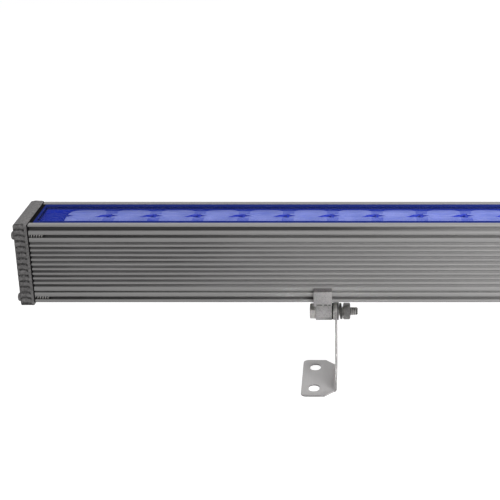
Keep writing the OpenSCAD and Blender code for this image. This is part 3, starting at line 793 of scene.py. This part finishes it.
def fluted_bar(tree, inputs):
    index = add_node(tree, "GeometryNodeInputIndex")
    flute = (index / 4.0).math("FLOOR")
    corner = index.math("MODULO", 4.0)
    upper = corner > 1.5
    inner = abs(corner - 1.5) < 1.0
    width = inputs["Flute mouth"] - inner * (inputs["Flute mouth"] - inputs["Flute floor"])
    height = (upper - 0.5) * width + (flute * inputs["Flute pitch"] + inputs["First flute"])
    across = inputs["Face distance"] - inner * inputs["Flute depth"]
    line = add_node(tree, "GeometryNodeMeshLine", Count=inputs["Flutes"] * 4.0)
    right = line.then("GeometryNodeSetPosition", Position=vector(tree, X=across, Y=height))
    left = right.then("GeometryNodeTransform", Scale=(-1.0, 1.0, 1.0))
    whole = join(inputs["Geometry"], right, left)
    whole = whole.then("GeometryNodeMergeByDistance", Distance=0.01 * MM)
    curve = whole.then("GeometryNodeMeshToCurve")
    curve = curve.then("GeometryNodeFilletCurve", mode="POLY", Count=3,
                       Radius=inputs["Corner radius"], Limit_Radius=True)
    section = curve.then("GeometryNodeFillCurve", mode="TRIANGLES")
    bar = section.then("GeometryNodeExtrudeMesh", Individual=False,
                       Offset=vector(tree, Z=inputs["Length"]))
    bar = join(bar, section.then("GeometryNodeFlipFaces"))
    bar = bar.then("GeometryNodeMergeByDistance", Distance=0.005 * MM)
    spot = split(add_node(tree, "GeometryNodeInputPosition"))
    behind = inputs["Face distance"] - abs(spot["X"]) > SHADED_BEHIND_MM * MM
    below = spot["Y"] < inputs["Shade below"]
    in_rim = spot["Y"] > inputs["Rim from"]
    # The recess mark is where the finish paints shade: behind the face and below the rim top, more
    # in the rim groove.
    bar = bar.then("GeometryNodeStoreNamedAttribute", Name="recess",
                   Value=behind * below * (in_rim * RIM_SHADE_WEIGHT + 1.0))
    return bar.then("GeometryNodeTransform", Translation=inputs["Place"],
                    Rotation=Euler((pi / 2, 0.0, pi / 2)))


def build_housing():
    mesh = run_tree(fluted_bar, section_outline(), {
        "Length": housing_high.x - housing_low.x, "Face distance": face_y,
        "Flutes": flute_count, "First flute": flute_first, "Flute pitch": flute_pitch,
        "Flute mouth": flute_mouth, "Flute floor": flute_floor, "Flute depth": flute_depth,
        "Corner radius": corner_round, "Shade below": body_h - 1.0, "Rim from": rim_groove[0] - 0.1,
        "Place": (housing_low.x, 0.0, body_z), "Finish": finishes["anodised_extrusion"]})
    mesh = mesh_from(opened(mesh))
    piece = add_piece("fluted_housing", mesh, "lamp", "anodised_extrusion", ["housing"])
    print("housing faces", len(mesh.polygons), "size", [round(v, 4) for v in piece.dimensions])


build_housing()

# %% [markdown]
# ## The cast end caps
# Each cap is a thick plate with a crowned top, a smooth flange against its gasket and rounded
# ribs down both sides. The plate is a box grid whose corners are rolled over by moving its
# points. A second node tree presses the ribs into the grid, so their number, depth and arch stay
# sizes to play with.

# %% Cap sizes, in millimetres
cap_low, cap_high = box_mm("left_end_cap")
cap_t = cap_high.x - cap_low.x
cap_half_w = cap_high.y
cap_h = cap_high.z - cap_low.z
cap_round = 1.1
cap_flange_t = 1.9
cap_crown = 1.2
crown_from_bottom = 12.0
crown_at_bottom = 0.55
cap_rib_pitch = 5.2
cap_rib_start = 1.9
cap_rib_depth = 1.7
cap_rib_arch = 1.1
cap_rib_step = 0.1
cap_rib_power = 4.2
print("cap", round(cap_t, 2), round(2 * cap_half_w, 2), round(cap_h, 2), "mm")

# %% Blank of a cap


def steps_between(low, high, count):
    """Evenly spaced values from low to high."""
    return [low + (high - low) * i / count for i in range(count + 1)]


def rolled_steps(radius):
    """Distances from an edge, closer together where a rounding of this radius starts."""
    return [radius * (1 - cos(radians(a))) for a in (0, 30, 50, 70)]


def rounded_steps(low, high, count, radius):
    """Values from low to high, closer together within the rounding at each end."""
    edge = rolled_steps(radius)
    inner = steps_between(low + radius, high - radius, count)
    return [low + e for e in edge] + inner + [high - e for e in reversed(edge)]


ON_ROUNDING_MM = 1e-3


def clamped(value, low, high):
    return min(max(value, low), high)


def cap_blank():
    """Left cap before its ribs: a box grid with rolled outer edges and a crowned top."""
    flange_x = cap_high.x - cap_flange_t
    half_step = 0.05
    xs = [cap_low.x + e for e in rolled_steps(cap_round)]
    xs += steps_between(cap_low.x + cap_round, flange_x - half_step, 9) + [flange_x + half_step]
    xs += steps_between(flange_x + 0.6, cap_high.x, 3)
    ys = rounded_steps(-cap_half_w, cap_half_w, 20, cap_round)
    zs = rounded_steps(cap_low.z, cap_high.z, 150, cap_round)
    bm = box_grid(xs, ys, zs)
    middle_x = (cap_low.x + cap_high.x) / 2
    for vert in bm.verts:
        spot = vert.co / MM
        inner = Vector((max(spot.x, cap_low.x + cap_round),
                        clamped(spot.y, cap_round - cap_half_w, cap_half_w - cap_round),
                        clamped(spot.z, cap_low.z + cap_round, cap_high.z - cap_round)))
        away = spot - inner
        if away.length > ON_ROUNDING_MM:
            spot = inner + away.normalized() * cap_round
        from_bottom = spot.z - cap_low.z
        sag = cap_crown * ((spot.x - middle_x) / (cap_t / 2)) ** 2
        sag *= clamped(from_bottom / crown_from_bottom, 0.0, 1.0)
        spot.z -= sag * (crown_at_bottom + (1.0 - crown_at_bottom) * from_bottom / cap_h)
        vert.co = spot * MM
    return mesh_from(bm)


# %% [markdown]
# The rib tree reads each point's height and works out how far it is from the nearest rib's
# crest. A high power of that distance pushes the points of the two side faces inwards, so the
# ribs are broad and the valleys between them narrow. The push starts small at the outer edge.
# On the flange and on the top and bottom nothing moves. How far a point moved is kept as a mark,
# by which the finish paints shade into the valleys.

# %% Tree of the cast ribs
FADE_RUN_MM = 2.0
FADE_START = 0.25
SIDE_WITHIN_MM = 1.2


def cast_ribs(tree, inputs):
    spot = split(add_node(tree, "GeometryNodeInputPosition"))
    across = (spot["X"] - inputs["Arch middle"]) / inputs["Arch width"]
    droop = abs(across) ** 2.0 * inputs["Arch"]
    turns = (spot["Z"] - inputs["Bottom"] + droop) / inputs["Rib pitch"]
    off_crest = abs((turns.math("FRACT") - 0.5) * 2.0)
    press = off_crest ** cap_rib_power * inputs["Rib depth"] + inputs["Step"]
    fade = (spot["X"] - inputs["Outer edge"]) / (FADE_RUN_MM * MM) + FADE_START
    on_side = inputs["Side distance"] - abs(spot["Y"]) < SIDE_WITHIN_MM * MM
    before_flange = spot["X"] < inputs["Flange from"]
    amount = press * fade.math("MINIMUM", 1.0) * (on_side * before_flange)
    inwards = amount * (spot["Y"].math("SIGN") * -1.0)
    ribbed = inputs["Geometry"].then("GeometryNodeSetPosition", Offset=vector(tree, Y=inwards))
    # How far a point is pushed in is stored for the finish, which paints shade into the valleys with
    # it.
    return ribbed.then("GeometryNodeStoreNamedAttribute", Name="crease_shade",
                       Value=amount / (inputs["Rib depth"] + inputs["Step"]))


def build_caps():
    ribbed_t = cap_t - cap_flange_t
    left = run_tree(cast_ribs, cap_blank(), {
        "Side distance": cap_half_w, "Bottom": cap_low.z + cap_rib_start,
        "Rib pitch": cap_rib_pitch, "Rib depth": cap_rib_depth, "Step": cap_rib_step,
        "Flange from": cap_high.x - cap_flange_t, "Arch": cap_rib_arch,
        "Arch width": ribbed_t / 2, "Arch middle": cap_low.x + ribbed_t / 2,
        "Outer edge": cap_low.x, "Finish": finishes["cast_cap"]})
    seat_low, seat_high = box_mm("gland_ring")
    gland_z = (seat_low.z + seat_high.z) / 2
    ring_gap = 0.3
    recess_l = 20.0
    recess_r = seat_high.y / cos(HALF_HEX_SIDE) + ring_gap
    bore_l = 30.0
    bore_r = 6.05
    recess = rod_x(seat_low.x, seat_low.x + recess_l, recess_r, gland_z)
    bore = rod_x(seat_low.x - bore_l, seat_low.x + 1.0, bore_r, gland_z)
    right = cut_from(half_turned(left), [recess, bore])
    add_piece("left_cast_cap", left, "lamp", "cast_cap", ["left_end_cap"])
    add_piece("right_cast_cap", right, "lamp", "cast_cap", ["right_end_cap"])
    print("cap faces", len(left.polygons), len(right.polygons))


build_caps()

# %% [markdown]
# ## Threads
# The open ports show the cap screws' threads, and each pivot bolt ends in a stretch of thread.
# A thread is a ridge that winds round a core at one pitch. The tree below sweeps a small diamond
# along a spiral and joins it with its core, so one tree serves every screw.

# %% Tree of a thread


def thread(tree, inputs):
    depth = inputs["Thread depth"]
    core_r = inputs["Crest radius"] - depth
    ridge_l = inputs["Length"] - depth * 2.0
    spiral = add_node(tree, "GeometryNodeCurveSpiral", Resolution=inputs["Steps a turn"],
                      Rotations=ridge_l / inputs["Pitch"], Start_Radius=core_r,
                      End_Radius=core_r, Height=ridge_l)
    path = spiral.then("GeometryNodeSetCurveNormal", mode="Z_UP")
    diamond = add_node(tree, "GeometryNodeCurvePrimitiveCircle", Resolution=4, Radius=depth)
    ridge = path.then("GeometryNodeCurveToMesh", Profile_Curve=diamond, Fill_Caps=True)
    ridge = ridge.then("GeometryNodeTransform", Translation=vector(tree, Z=depth))
    core = add_node(tree, "GeometryNodeMeshCylinder", Vertices=32, Radius=core_r,
                    Depth=inputs["Length"])
    core = core.then("GeometryNodeTransform", Translation=vector(tree, Z=inputs["Length"] / 2.0))
    return join(ridge, core).then("GeometryNodeTransform", Translation=inputs["Start"],
                                  Rotation=Euler((0.0, pi / 2, 0.0)))


def thread_mesh(start, length, crest_r, depth, pitch, slot):
    """A thread along +X from a starting point, in millimetres."""
    return run_tree(thread, bpy.data.meshes.new("thread_seed"), {
        "Crest radius": crest_r, "Thread depth": depth, "Pitch": pitch, "Length": length,
        "Steps a turn": 28, "Start": start, "Finish": finishes[slot]})


# %% [markdown]
# ## Cap screws
# Four pan-head screws hold each cap. A head is a turned shape, so it is a lathed profile with a
# cross cut into it. Behind the cap, the thread lies in the bar's open port. Its crests take the
# brighter bolt steel as painted light, and between them a near-black finish is painted shade.

# %% Cap screws
screw_l = 25.0
screw_crest_r = 2.35
screw_thread_depth = 0.55
screw_pitch = 2.2
screw_shade_r = 1.9


def pan_head(y, z):
    """Head of a cap screw, its underside on the left cap's outer face."""
    height = 2.6
    radius = 3.8
    soft = 0.15
    straight = 0.9
    dome = 1.7
    cross_w = 1.0
    cross_l = 4.2
    cross_depth = 1.2
    profile = [(0.0, 0.0), (0.0, radius - soft), (-soft, radius), (-straight, radius)]
    profile += [(-straight - (height - straight) * sin(radians(a)),
                 radius - dome + dome * cos(radians(a))) for a in (20, 40, 60, 80, 90)]
    head = lathe_x(profile + [(-height, 0.0)], (cap_low.x, y, z))
    top_x = cap_low.x - height
    slots = [box_mesh((top_x - 1.0, y - half_y, z - half_z),
                      (top_x + cross_depth, y + half_y, z + half_z))
             for half_y, half_z in ((cross_l / 2, cross_w / 2), (cross_w / 2, cross_l / 2))]
    return cut_from(head, slots)


def screw_finish(middle, face):
    """0 for a head, 1 for a thread's bottom in the port, painted shade, 2 for its crest, painted
    light.
    """
    off_axis = min(hypot(abs(middle.y) - port_y, middle.z - body_z - port)
                   for port in (port_low, port_high))
    in_bar = abs(middle.x) < abs(cap_low.x) - 0.5
    return (1 if off_axis < screw_shade_r else 2) if in_bar else 0


def build_cap_screws():
    sunk = 0.1
    parts = []
    for y in (-port_y, port_y):
        for z in (body_z + port_low, body_z + port_high):
            start = (cap_low.x + sunk, y, z)
            parts.append(pan_head(y, z))
            parts.append(thread_mesh(start, screw_l - sunk, screw_crest_r, screw_thread_depth,
                                     screw_pitch, "screw_steel"))
    screws = join_meshes(*parts)
    for piece in add_both_sides("cap_screw_set", screws, "lamp", "screw_steel", "cap_screws"):
        vary_finish(piece, ("thread_shade", "bolt_steel"), screw_finish)
    print("cap screw faces", len(screws.polygons))


build_cap_screws()

# %% [markdown]
# ## The row of lenses
# Each LED sits under a turned collimator lens. Its outline is drawn out a little towards a
# square, and a wedge-shaped notch, set back from the middle line, opens towards the next lens.
# Thin webs of the same plastic run from lens to lens, as the row is moulded in one. One lens and
# one web are made, and a node tree sets them out at the row's pitch, which is the natural way to
# repeat one part along a line. Deep places are marked, and the finish paints them a deeper blue
# as shade.

# %% Lens row
lens_low, lens_high = box_mm("lenses")
lens_count = 24
lens_pitch = 38.6
lens_r = lens_high.y + 1.3
lens_h = lens_high.z - lens_low.z + 0.7
lens_power = 4.0
lens_flange_t = 2.0
lens_soft = 0.35
web_w = 10.0
web_y = 16.5
web_lift = 0.05
web_t = 0.4
web_shade = 0.24
notch_back = 3.6
notch_half = 4.6
notch_depth = 3.0
cutter_over = 1.0


def wedge(tip_x, mouth_x, half_w, z0, z1):
    """Upright prism on a triangle that points along X, set back as the notches are."""
    ring = [(tip_x, notch_back), (mouth_x, notch_back - half_w), (mouth_x, notch_back + half_w)]
    return skin([[(x, y, z) for x, y in ring] for z in (z0, z1)], capped=True)


def one_lens():
    """A lens standing on the origin, its axis along Z."""
    flange_z = lens_h - lens_flange_t
    hollow = [(3.6, 0.0), (3.6, 1.2), (3.2, 2.4), (1.8, 3.4), (0.0, 3.4)]
    cone = [(0.0, 6.5), (flange_z, lens_r - 1.4)]
    flange = [(flange_z, lens_r), (lens_h - lens_soft, lens_r), (lens_h, lens_r - lens_soft)]
    dish = [(lens_h, lens_r - 5.6), (lens_h - 0.45, 10.6), (lens_h - 0.75, 9.4),
            (lens_h - 0.8, 0.0)]
    profile = hollow + cone + flange + dish
    mesh = lathe_x(profile, (0.0, 0.0, 0.0), steps=72)
    mesh.transform(Matrix.Rotation(-pi / 2, 4, "Y"))
    for vert in mesh.vertices:
        turn = atan2(vert.co.y, vert.co.x)
        if vert.co.xy.length > (lens_r - 0.5) * MM:
            squareness = abs(cos(turn)) ** lens_power + abs(sin(turn)) ** lens_power
            vert.co.xy *= squareness ** (-1.0 / lens_power)
    floor_z = lens_h - notch_depth
    over_r = lens_r + cutter_over
    notch = wedge(lens_r - 13.0, over_r, 5.0, floor_z, lens_h + cutter_over)
    nick = wedge(6.0 - lens_r, -over_r, 3.0, floor_z, lens_h + cutter_over)
    lens = cut_from(mesh, [notch, nick])
    wall_mm2 = 4.0

    # Walls and floors of the notches are marked for painted shade.
    def depth(middle, face):
        upright = abs(face.normal.z) < 0.01
        in_wall = upright and face.area / MM ** 2 > wall_mm2
        in_floor = abs(middle.z - floor_z) < 0.02
        return 1.0 if in_wall or in_floor else 0.0
    mark_faces(lens, "deep_shade", depth)
    return lens


def one_web():
    """Thin webs from a lens at the origin to the next one, and a low bridge in the notches."""
    middle_x = lens_pitch / 2
    near_y = notch_back - notch_half
    far_y = notch_back + notch_half
    webs = [box_mesh((middle_x - web_w / 2, low, lens_h - web_t),
                     (middle_x + web_w / 2, high, lens_h + web_lift))
            for low, high in ((-web_y, near_y), (far_y, web_y))]
    bridge_half = middle_x - lens_r + 0.2
    bridge_top = lens_h - 0.6
    bridge = box_mesh((middle_x - bridge_half, near_y, bridge_top - web_t),
                      (middle_x + bridge_half, far_y, bridge_top))
    web = join_meshes(*webs, bridge)
    # Below the lens tops the webs get full painted shade, their tops a little.
    mark_faces(web, "deep_shade", lambda middle, face: 1.0 if middle.z < lens_h - 0.5 else web_shade)
    return web


def row_along_x(tree, inputs):
    line = add_node(tree, "GeometryNodeMeshLine", Count=inputs["Count"],
                    Start_Location=inputs["First"], Offset=vector(tree, X=inputs["Pitch"]))
    return line.then("GeometryNodeInstanceOnPoints", Instance=inputs["Geometry"])


def build_lenses():
    first_x = -(lens_count - 1) / 2 * lens_pitch
    rows = [run_tree(row_along_x, seed, {
        "Count": count, "Pitch": lens_pitch, "First": (first_x, 0.0, lens_low.z),
        "Finish": finishes["lens_plastic"]})
        for seed, count in ((one_lens(), lens_count), (one_web(), lens_count - 1))]
    mesh = join_meshes(*rows)
    add_piece("lens_row", mesh, "lamp", "lens_plastic", ["lenses"], sharp_deg=30.0)
    print("lens row faces", len(mesh.polygons), "from", round(first_x, 1), "mm")


build_lenses()

# %% [markdown]
# The lenses hang in blue trays. A raised edge along each side of the trays reaches up to the
# glass and hides the bare wall behind, so nothing but blue shows under the glass. A strip at
# each end does the same there.

# %% Trays


def build_trays():
    low, high = box_mm("lens_frames")
    glass_low, glass_high = box_mm("cover_glass")
    edge_t = 0.6
    edge_gap = 0.5
    edge_above_lens = 0.8
    strip_t = 1.0
    edge_top = lens_high.z + edge_above_lens
    edge_y = lens_r + edge_gap
    strip_z = high.z - strip_t
    parts = [merged_cad("lens_frames")]
    for near, far in ((edge_y, edge_y + edge_t), (-edge_y - edge_t, -edge_y)):
        parts.append(box_mesh((low.x, near, strip_z), (high.x, far, edge_top)))
    for x0, x1 in ((glass_low.x, low.x), (high.x, glass_high.x)):
        parts.append(box_mesh((x0, -edge_y, strip_z), (x1, edge_y, high.z)))
    add_piece("edged_trays", join_meshes(*parts), "lamp", "frame_plastic", ["lens_frames"])
    print("trays reach", round(edge_top, 1), "mm, the glass starts at", round(glass_low.z, 1))


build_trays()

# %% [markdown]
# ## The cover glass
# Such a glass has a dark blue border printed round its edge, which hides the seat and the glue.
# The pane is one box whose two large faces have an inner field. The field stays clear, the rest
# of the top is the navy border, and the sides and the border's underside take a paler copy of it,
# painted light against the shade that the top border casts on them.

# %% Cover glass


def build_glass():
    low, high = box_mm("cover_glass")
    side_border = 5.6
    end_border = 1.5
    bm = box_grid([low.x, low.x + end_border, high.x - end_border, high.x],
                  [low.y, low.y + side_border, high.y - side_border, high.y], [low.z, high.z])
    pane = add_piece("printed_glass", mesh_from(bm), "lamp", "cover_glass", ["cover_glass"])

    # Sides and underside take the paler border copy, painted light.
    def border(middle, face):
        level = 0.9
        if abs(face.normal.z) > level and middle.xy.length < high.y / 2:
            return 0
        return 1 if face.normal.z > level else 2
    vary_finish(pane, ("glass_border", "under_border_lit"), border)
    print("glass", [round(v, 4) for v in pane.dimensions], "with border", side_border, "mm")


build_glass()

# %% [markdown]
# ## Clips, pads and brackets
# These are sheet and milled parts, whose CAD shape is right but whose edges are knife sharp. A
# Bevel on a cleaned copy breaks the edges by a few tenths, as tumbling does on the real ones.
# The nuts are also turned by 30 degrees about their bolts, as the photograph shows them.

# %% Pads, washers and nuts
nut_low, nut_high = box_mm("left_nut")
axis_z = (nut_low.z + nut_high.z) / 2


def turned_nut(mesh):
    axis = Vector((0.0, 0.0, axis_z)) * MM
    turn = Matrix.Rotation(HALF_HEX_SIDE, 4, "X")
    mesh.transform(Matrix.Translation(axis) @ turn @ Matrix.Translation(-axis))


# The nuts and outer washers take the darker steel copy, painted shade.
for name, slot, node, width, finish in (
        ("rubber_pads", "black_rubber", "clip_pads", 0.35, "pad_rubber"),
        ("inner_washer", "bolt_steel", "inner_washer", 0.2, None),
        ("outer_washer", "bolt_steel", "outer_washer", 0.2, "nut_steel_shaded"),
        ("friction_ring", "black_rubber", "friction_ring", 0.2, None),
        ("hex_nut", "bolt_steel", "nut", 0.25, "nut_steel_shaded")):
    rounded = with_bevel(merged_cad("left_" + node), width)
    if node == "nut":
        turned_nut(rounded)
    add_both_sides(name, rounded, "slider", slot, node, finish)
    print(name, len(rounded.polygons), "faces")

# %% [markdown]
# A bracket is cut from sheet and bent. Its cut edges face sideways, so the direction of a face
# tells whether it is an edge. The edges are marked, and the finish paints shade on them, a little
# less on the leg.

# %% Brackets


def build_brackets():
    low, high = box_mm("left_bracket")
    leg_zone = 8.0
    leg_shade = 0.75
    edge_below = 0.3

    # Cut edges of the foot get full painted shade, those of the leg a little less.
    def edge_shade(middle, face):
        in_foot = middle.x < high.x - leg_zone
        flatness = abs(face.normal.z) if in_foot else hypot(face.normal.x, face.normal.z)
        return (1.0 if in_foot else leg_shade) if flatness < edge_below else 0.0
    sheet = with_bevel(merged_cad("left_bracket"), 0.3)
    mark_faces(sheet, "cut", edge_shade)
    add_both_sides("sheet_bracket", sheet, "leg", "bracket_steel", "bracket")
    print("bracket faces", len(sheet.polygons), "height", round(high.z - low.z, 1), "mm")


build_brackets()

# %% [markdown]
# The clip's hooks show a broken dark line just under the lamp's bottom edge. Three small boxes a
# side, cut out after the edges are rounded, put it back, and the finish paints shade into them.

# %% Nicked clips


def build_clips():
    low, high = box_mm("left_clip")
    mark_z = body_z - 1.4
    nick_h = 1.0
    nick_t = 0.8
    nicks = []
    for shares in ((0.16, 0.46), (0.56, 0.74), (0.8, 0.93)):
        x0, x1 = [low.x + share * (high.x - low.x) for share in shares]
        for side in (-1, 1):
            near_y, far_y = sorted((side * (high.y - nick_t), side * (high.y + nick_t)))
            nicks.append(box_mesh((x0, near_y, mark_z - nick_h / 2),
                                  (x1, far_y, mark_z + nick_h / 2)))

    # Faces inside the nicks are marked for painted shade.
    def nicked(middle, face):
        slack = 0.05
        sunk = slack < high.y - abs(middle.y) < nick_t + slack
        return 1.0 if sunk and abs(middle.z - mark_z) < 0.55 * nick_h else 0.0
    clip = cut_from(with_bevel(merged_cad("left_clip"), 0.45), nicks)
    mark_faces(clip, "crease_shade", nicked)
    add_both_sides("sawn_clip", clip, "slider", "blasted_clip", "clip")
    print("clip faces", len(clip.polygons))


build_clips()

# %% [markdown]
# ## Pivot bolts
# The bolt's head and shank come from CAD. Past the nut its plain end is cut off and a real
# thread takes its place, a little coarser than such a bolt has, so that it reads at the
# photograph's scale. The bottom of the thread is marked, and the finish paints shade there.

# %% Pivot bolts


def build_pivot_bolts():
    end_x = box_mm("left_pivot_bolt")[1].x
    cut_x = (nut_low.x + nut_high.x) / 2
    bm = opened(merged_cad("left_pivot_bolt"))
    cut = bmesh.ops.bisect_plane(bm, geom=bm.verts[:] + bm.edges[:] + bm.faces[:],
                                 plane_co=(cut_x * MM, 0.0, 0.0), plane_no=(1.0, 0.0, 0.0),
                                 clear_outer=True)
    rim = [item for item in cut["geom_cut"] if isinstance(item, bmesh.types.BMEdge)]
    bmesh.ops.contextual_create(bm, geom=rim)
    shank = with_bevel(mesh_from(bm), 0.25)
    radius = 4.0
    depth = 0.75
    pitch = 1.75
    overlap = 0.5
    dark_from = 0.8
    tip_l = 0.6
    tip_r = radius - 1.3
    tip_x = end_x - tip_l
    ridge = thread_mesh((cut_x - overlap, 0.0, axis_z), tip_x - cut_x + overlap, radius, depth,
                        pitch, "bolt_steel")
    tip = lathe_x([(-1.5, 0.0), (-1.5, radius - depth), (0.0, radius - depth), (tip_l, tip_r),
                   (tip_l, 0.0)], (tip_x, 0.0, axis_z))

    # The thread's bottom is marked for painted shade.
    def root(middle, face):
        off_axis = hypot(middle.y, middle.z - axis_z)
        deep_shade = off_axis < radius - dark_from * depth
        return 1.0 if deep_shade and cut_x < middle.x < tip_x else 0.0
    bolt = join_meshes(shank, ridge, tip)
    mark_faces(bolt, "crease_shade", root)
    add_both_sides("hex_bolt", bolt, "slider", "bolt_steel", "pivot_bolt")
    print("bolt thread from", round(cut_x, 1), "to", round(end_x, 1), "mm")


build_pivot_bolts()

# %% [markdown]
# ## Split spring washers
# A spring washer is one open turn of square wire that climbs as it goes round. Its section is
# swept in code, with the corners of the wire rounded.

# %% Spring washers


def build_spring_washers():
    low, high = box_mm("left_spring_washer")
    middle_z = (low.z + high.z) / 2
    bore_r, outer_r, wire_t = 4.2, 7.2, 2.0
    wire_w = outer_r - bore_r
    climb = high.x - low.x - wire_t
    steps = 96
    turn = radians(342.0)
    soft = 0.3
    wire = [(soft, 0.0), (wire_t - soft, 0.0), (wire_t, soft), (wire_t, wire_w - soft),
            (wire_t - soft, wire_w), (soft, wire_w), (0.0, wire_w - soft), (0.0, soft)]
    rings = []
    for i in range(steps + 1):
        angle = turn * i / steps
        x = low.x + climb * i / steps
        rings.append([(x + along, (bore_r + out) * cos(angle),
                       middle_z + (bore_r + out) * sin(angle)) for along, out in wire])
    add_both_sides("split_washer", skin(rings, capped=True), "slider", "spring_steel",
                   "spring_washer")
    print("spring washer climbs", round(climb, 2), "mm")


build_spring_washers()

# %% [markdown]
# ## Cable gland
# The gland at the right end is a turned and hexagonal nylon fitting. Its CAD pieces get softened
# edges.

# %% Cable gland
for name, slot, width in (("gland_body", "gland_nylon", 0.3), ("gland_nut", "gland_nylon", 0.6),
                          ("gland_seal", "black_rubber", 0.3), ("gland_ring", "black_rubber", 0.15)):
    soft_gland = with_bevel(merged_cad(name), width, segments=3)
    add_piece("soft_" + name, soft_gland, "lamp", slot, [name])
    print(name, len(soft_gland.polygons), "faces")

# %% [markdown]
# ## Studio
# The photograph is a packshot on pure white with soft light, a little stronger from the right.
# The floor and the world show plain white to the camera and to reflections, and light the lamp
# only gently, so its greys keep their own level. Three large softboxes do the lighting, and a
# small card with a narrow beam lifts the bracket, which stands in the shade of the bar.

# %% Floor and world
scene = bpy.context.scene
scene.view_settings.view_transform = "Standard"
WORLD_LIGHT = 0.2
FLOOR_GLOW = 0.93
FLOOR_HALF_M = 12.0
FLOOR_DROP_M = 0.0004
WHITE = (1.0, 1.0, 1.0, 1.0)


def seen_rays(tree):
    """1 for camera, glossy and transmission rays, else 0."""
    path = add_node(tree, "ShaderNodeLightPath")
    some = path["Is Camera Ray"].math("MAXIMUM", path["Is Glossy Ray"])
    return some.math("MAXIMUM", path["Is Transmission Ray"])


def add_world():
    world = bpy.data.worlds.new("studio")
    scene.world = world
    world.use_nodes = True
    background = world.node_tree.nodes["Background"]
    background.inputs["Color"].default_value = WHITE
    strength = seen_rays(world.node_tree) * (1.0 - WORLD_LIGHT) + WORLD_LIGHT
    feed(strength, background.inputs["Strength"])


def add_floor():
    tree, shader = new_finish("studio_floor", roughness=0.9, specular=0.0)
    tint(shader, noise(tree, 8.0, detail=2.0), (149, 149, 149), (151, 151, 151))
    shader.inputs["Emission Color"].default_value = WHITE
    feed(seen_rays(tree) * FLOOR_GLOW, shader.inputs["Emission Strength"])
    bm = bmesh.new()
    bmesh.ops.create_grid(bm, x_segments=1, y_segments=1, size=FLOOR_HALF_M)
    mesh = mesh_from(bm, outwards=False)
    mesh.materials.append(finishes["studio_floor"])
    floor = add_object("studio_floor", mesh)
    floor.location.z = -FLOOR_DROP_M


add_world()
add_floor()

# %% Lights


def add_softbox(name, place, aim, size, watts, mirrored=False, spread_deg=180.0):
    """A soft rectangle of light, in metres. Only a mirrored one shows in glossy reflections."""
    data = bpy.data.lights.new(name, "AREA")
    data.shape = "RECTANGLE"
    data.size, data.size_y = size
    data.energy = watts
    data.spread = radians(spread_deg)
    light = add_object(name, data)
    light.location = place
    light.rotation_euler = (Vector(aim) - Vector(place)).to_track_quat("-Z", "Y").to_euler()
    light.visible_glossy = mirrored


add_softbox("key", (0.5, -0.7, 0.45), (0.6, 0.0, 0.1), (0.7, 0.5), 9.8, mirrored=True)
add_softbox("top", (0.3, -0.75, 1.15), (0.1, -0.05, 0.0), (0.9, 0.6), 10.6)
add_softbox("back_fill", (-0.6, 1.6, 0.9), (0.0, 0.0, 0.1), (1.4, 1.0), 14.0)
add_softbox("bracket_card", (-0.3, -0.62, 0.03), (-0.24, -0.01, 0.04), (0.1, 0.05), 0.027,
            spread_deg=12.0)
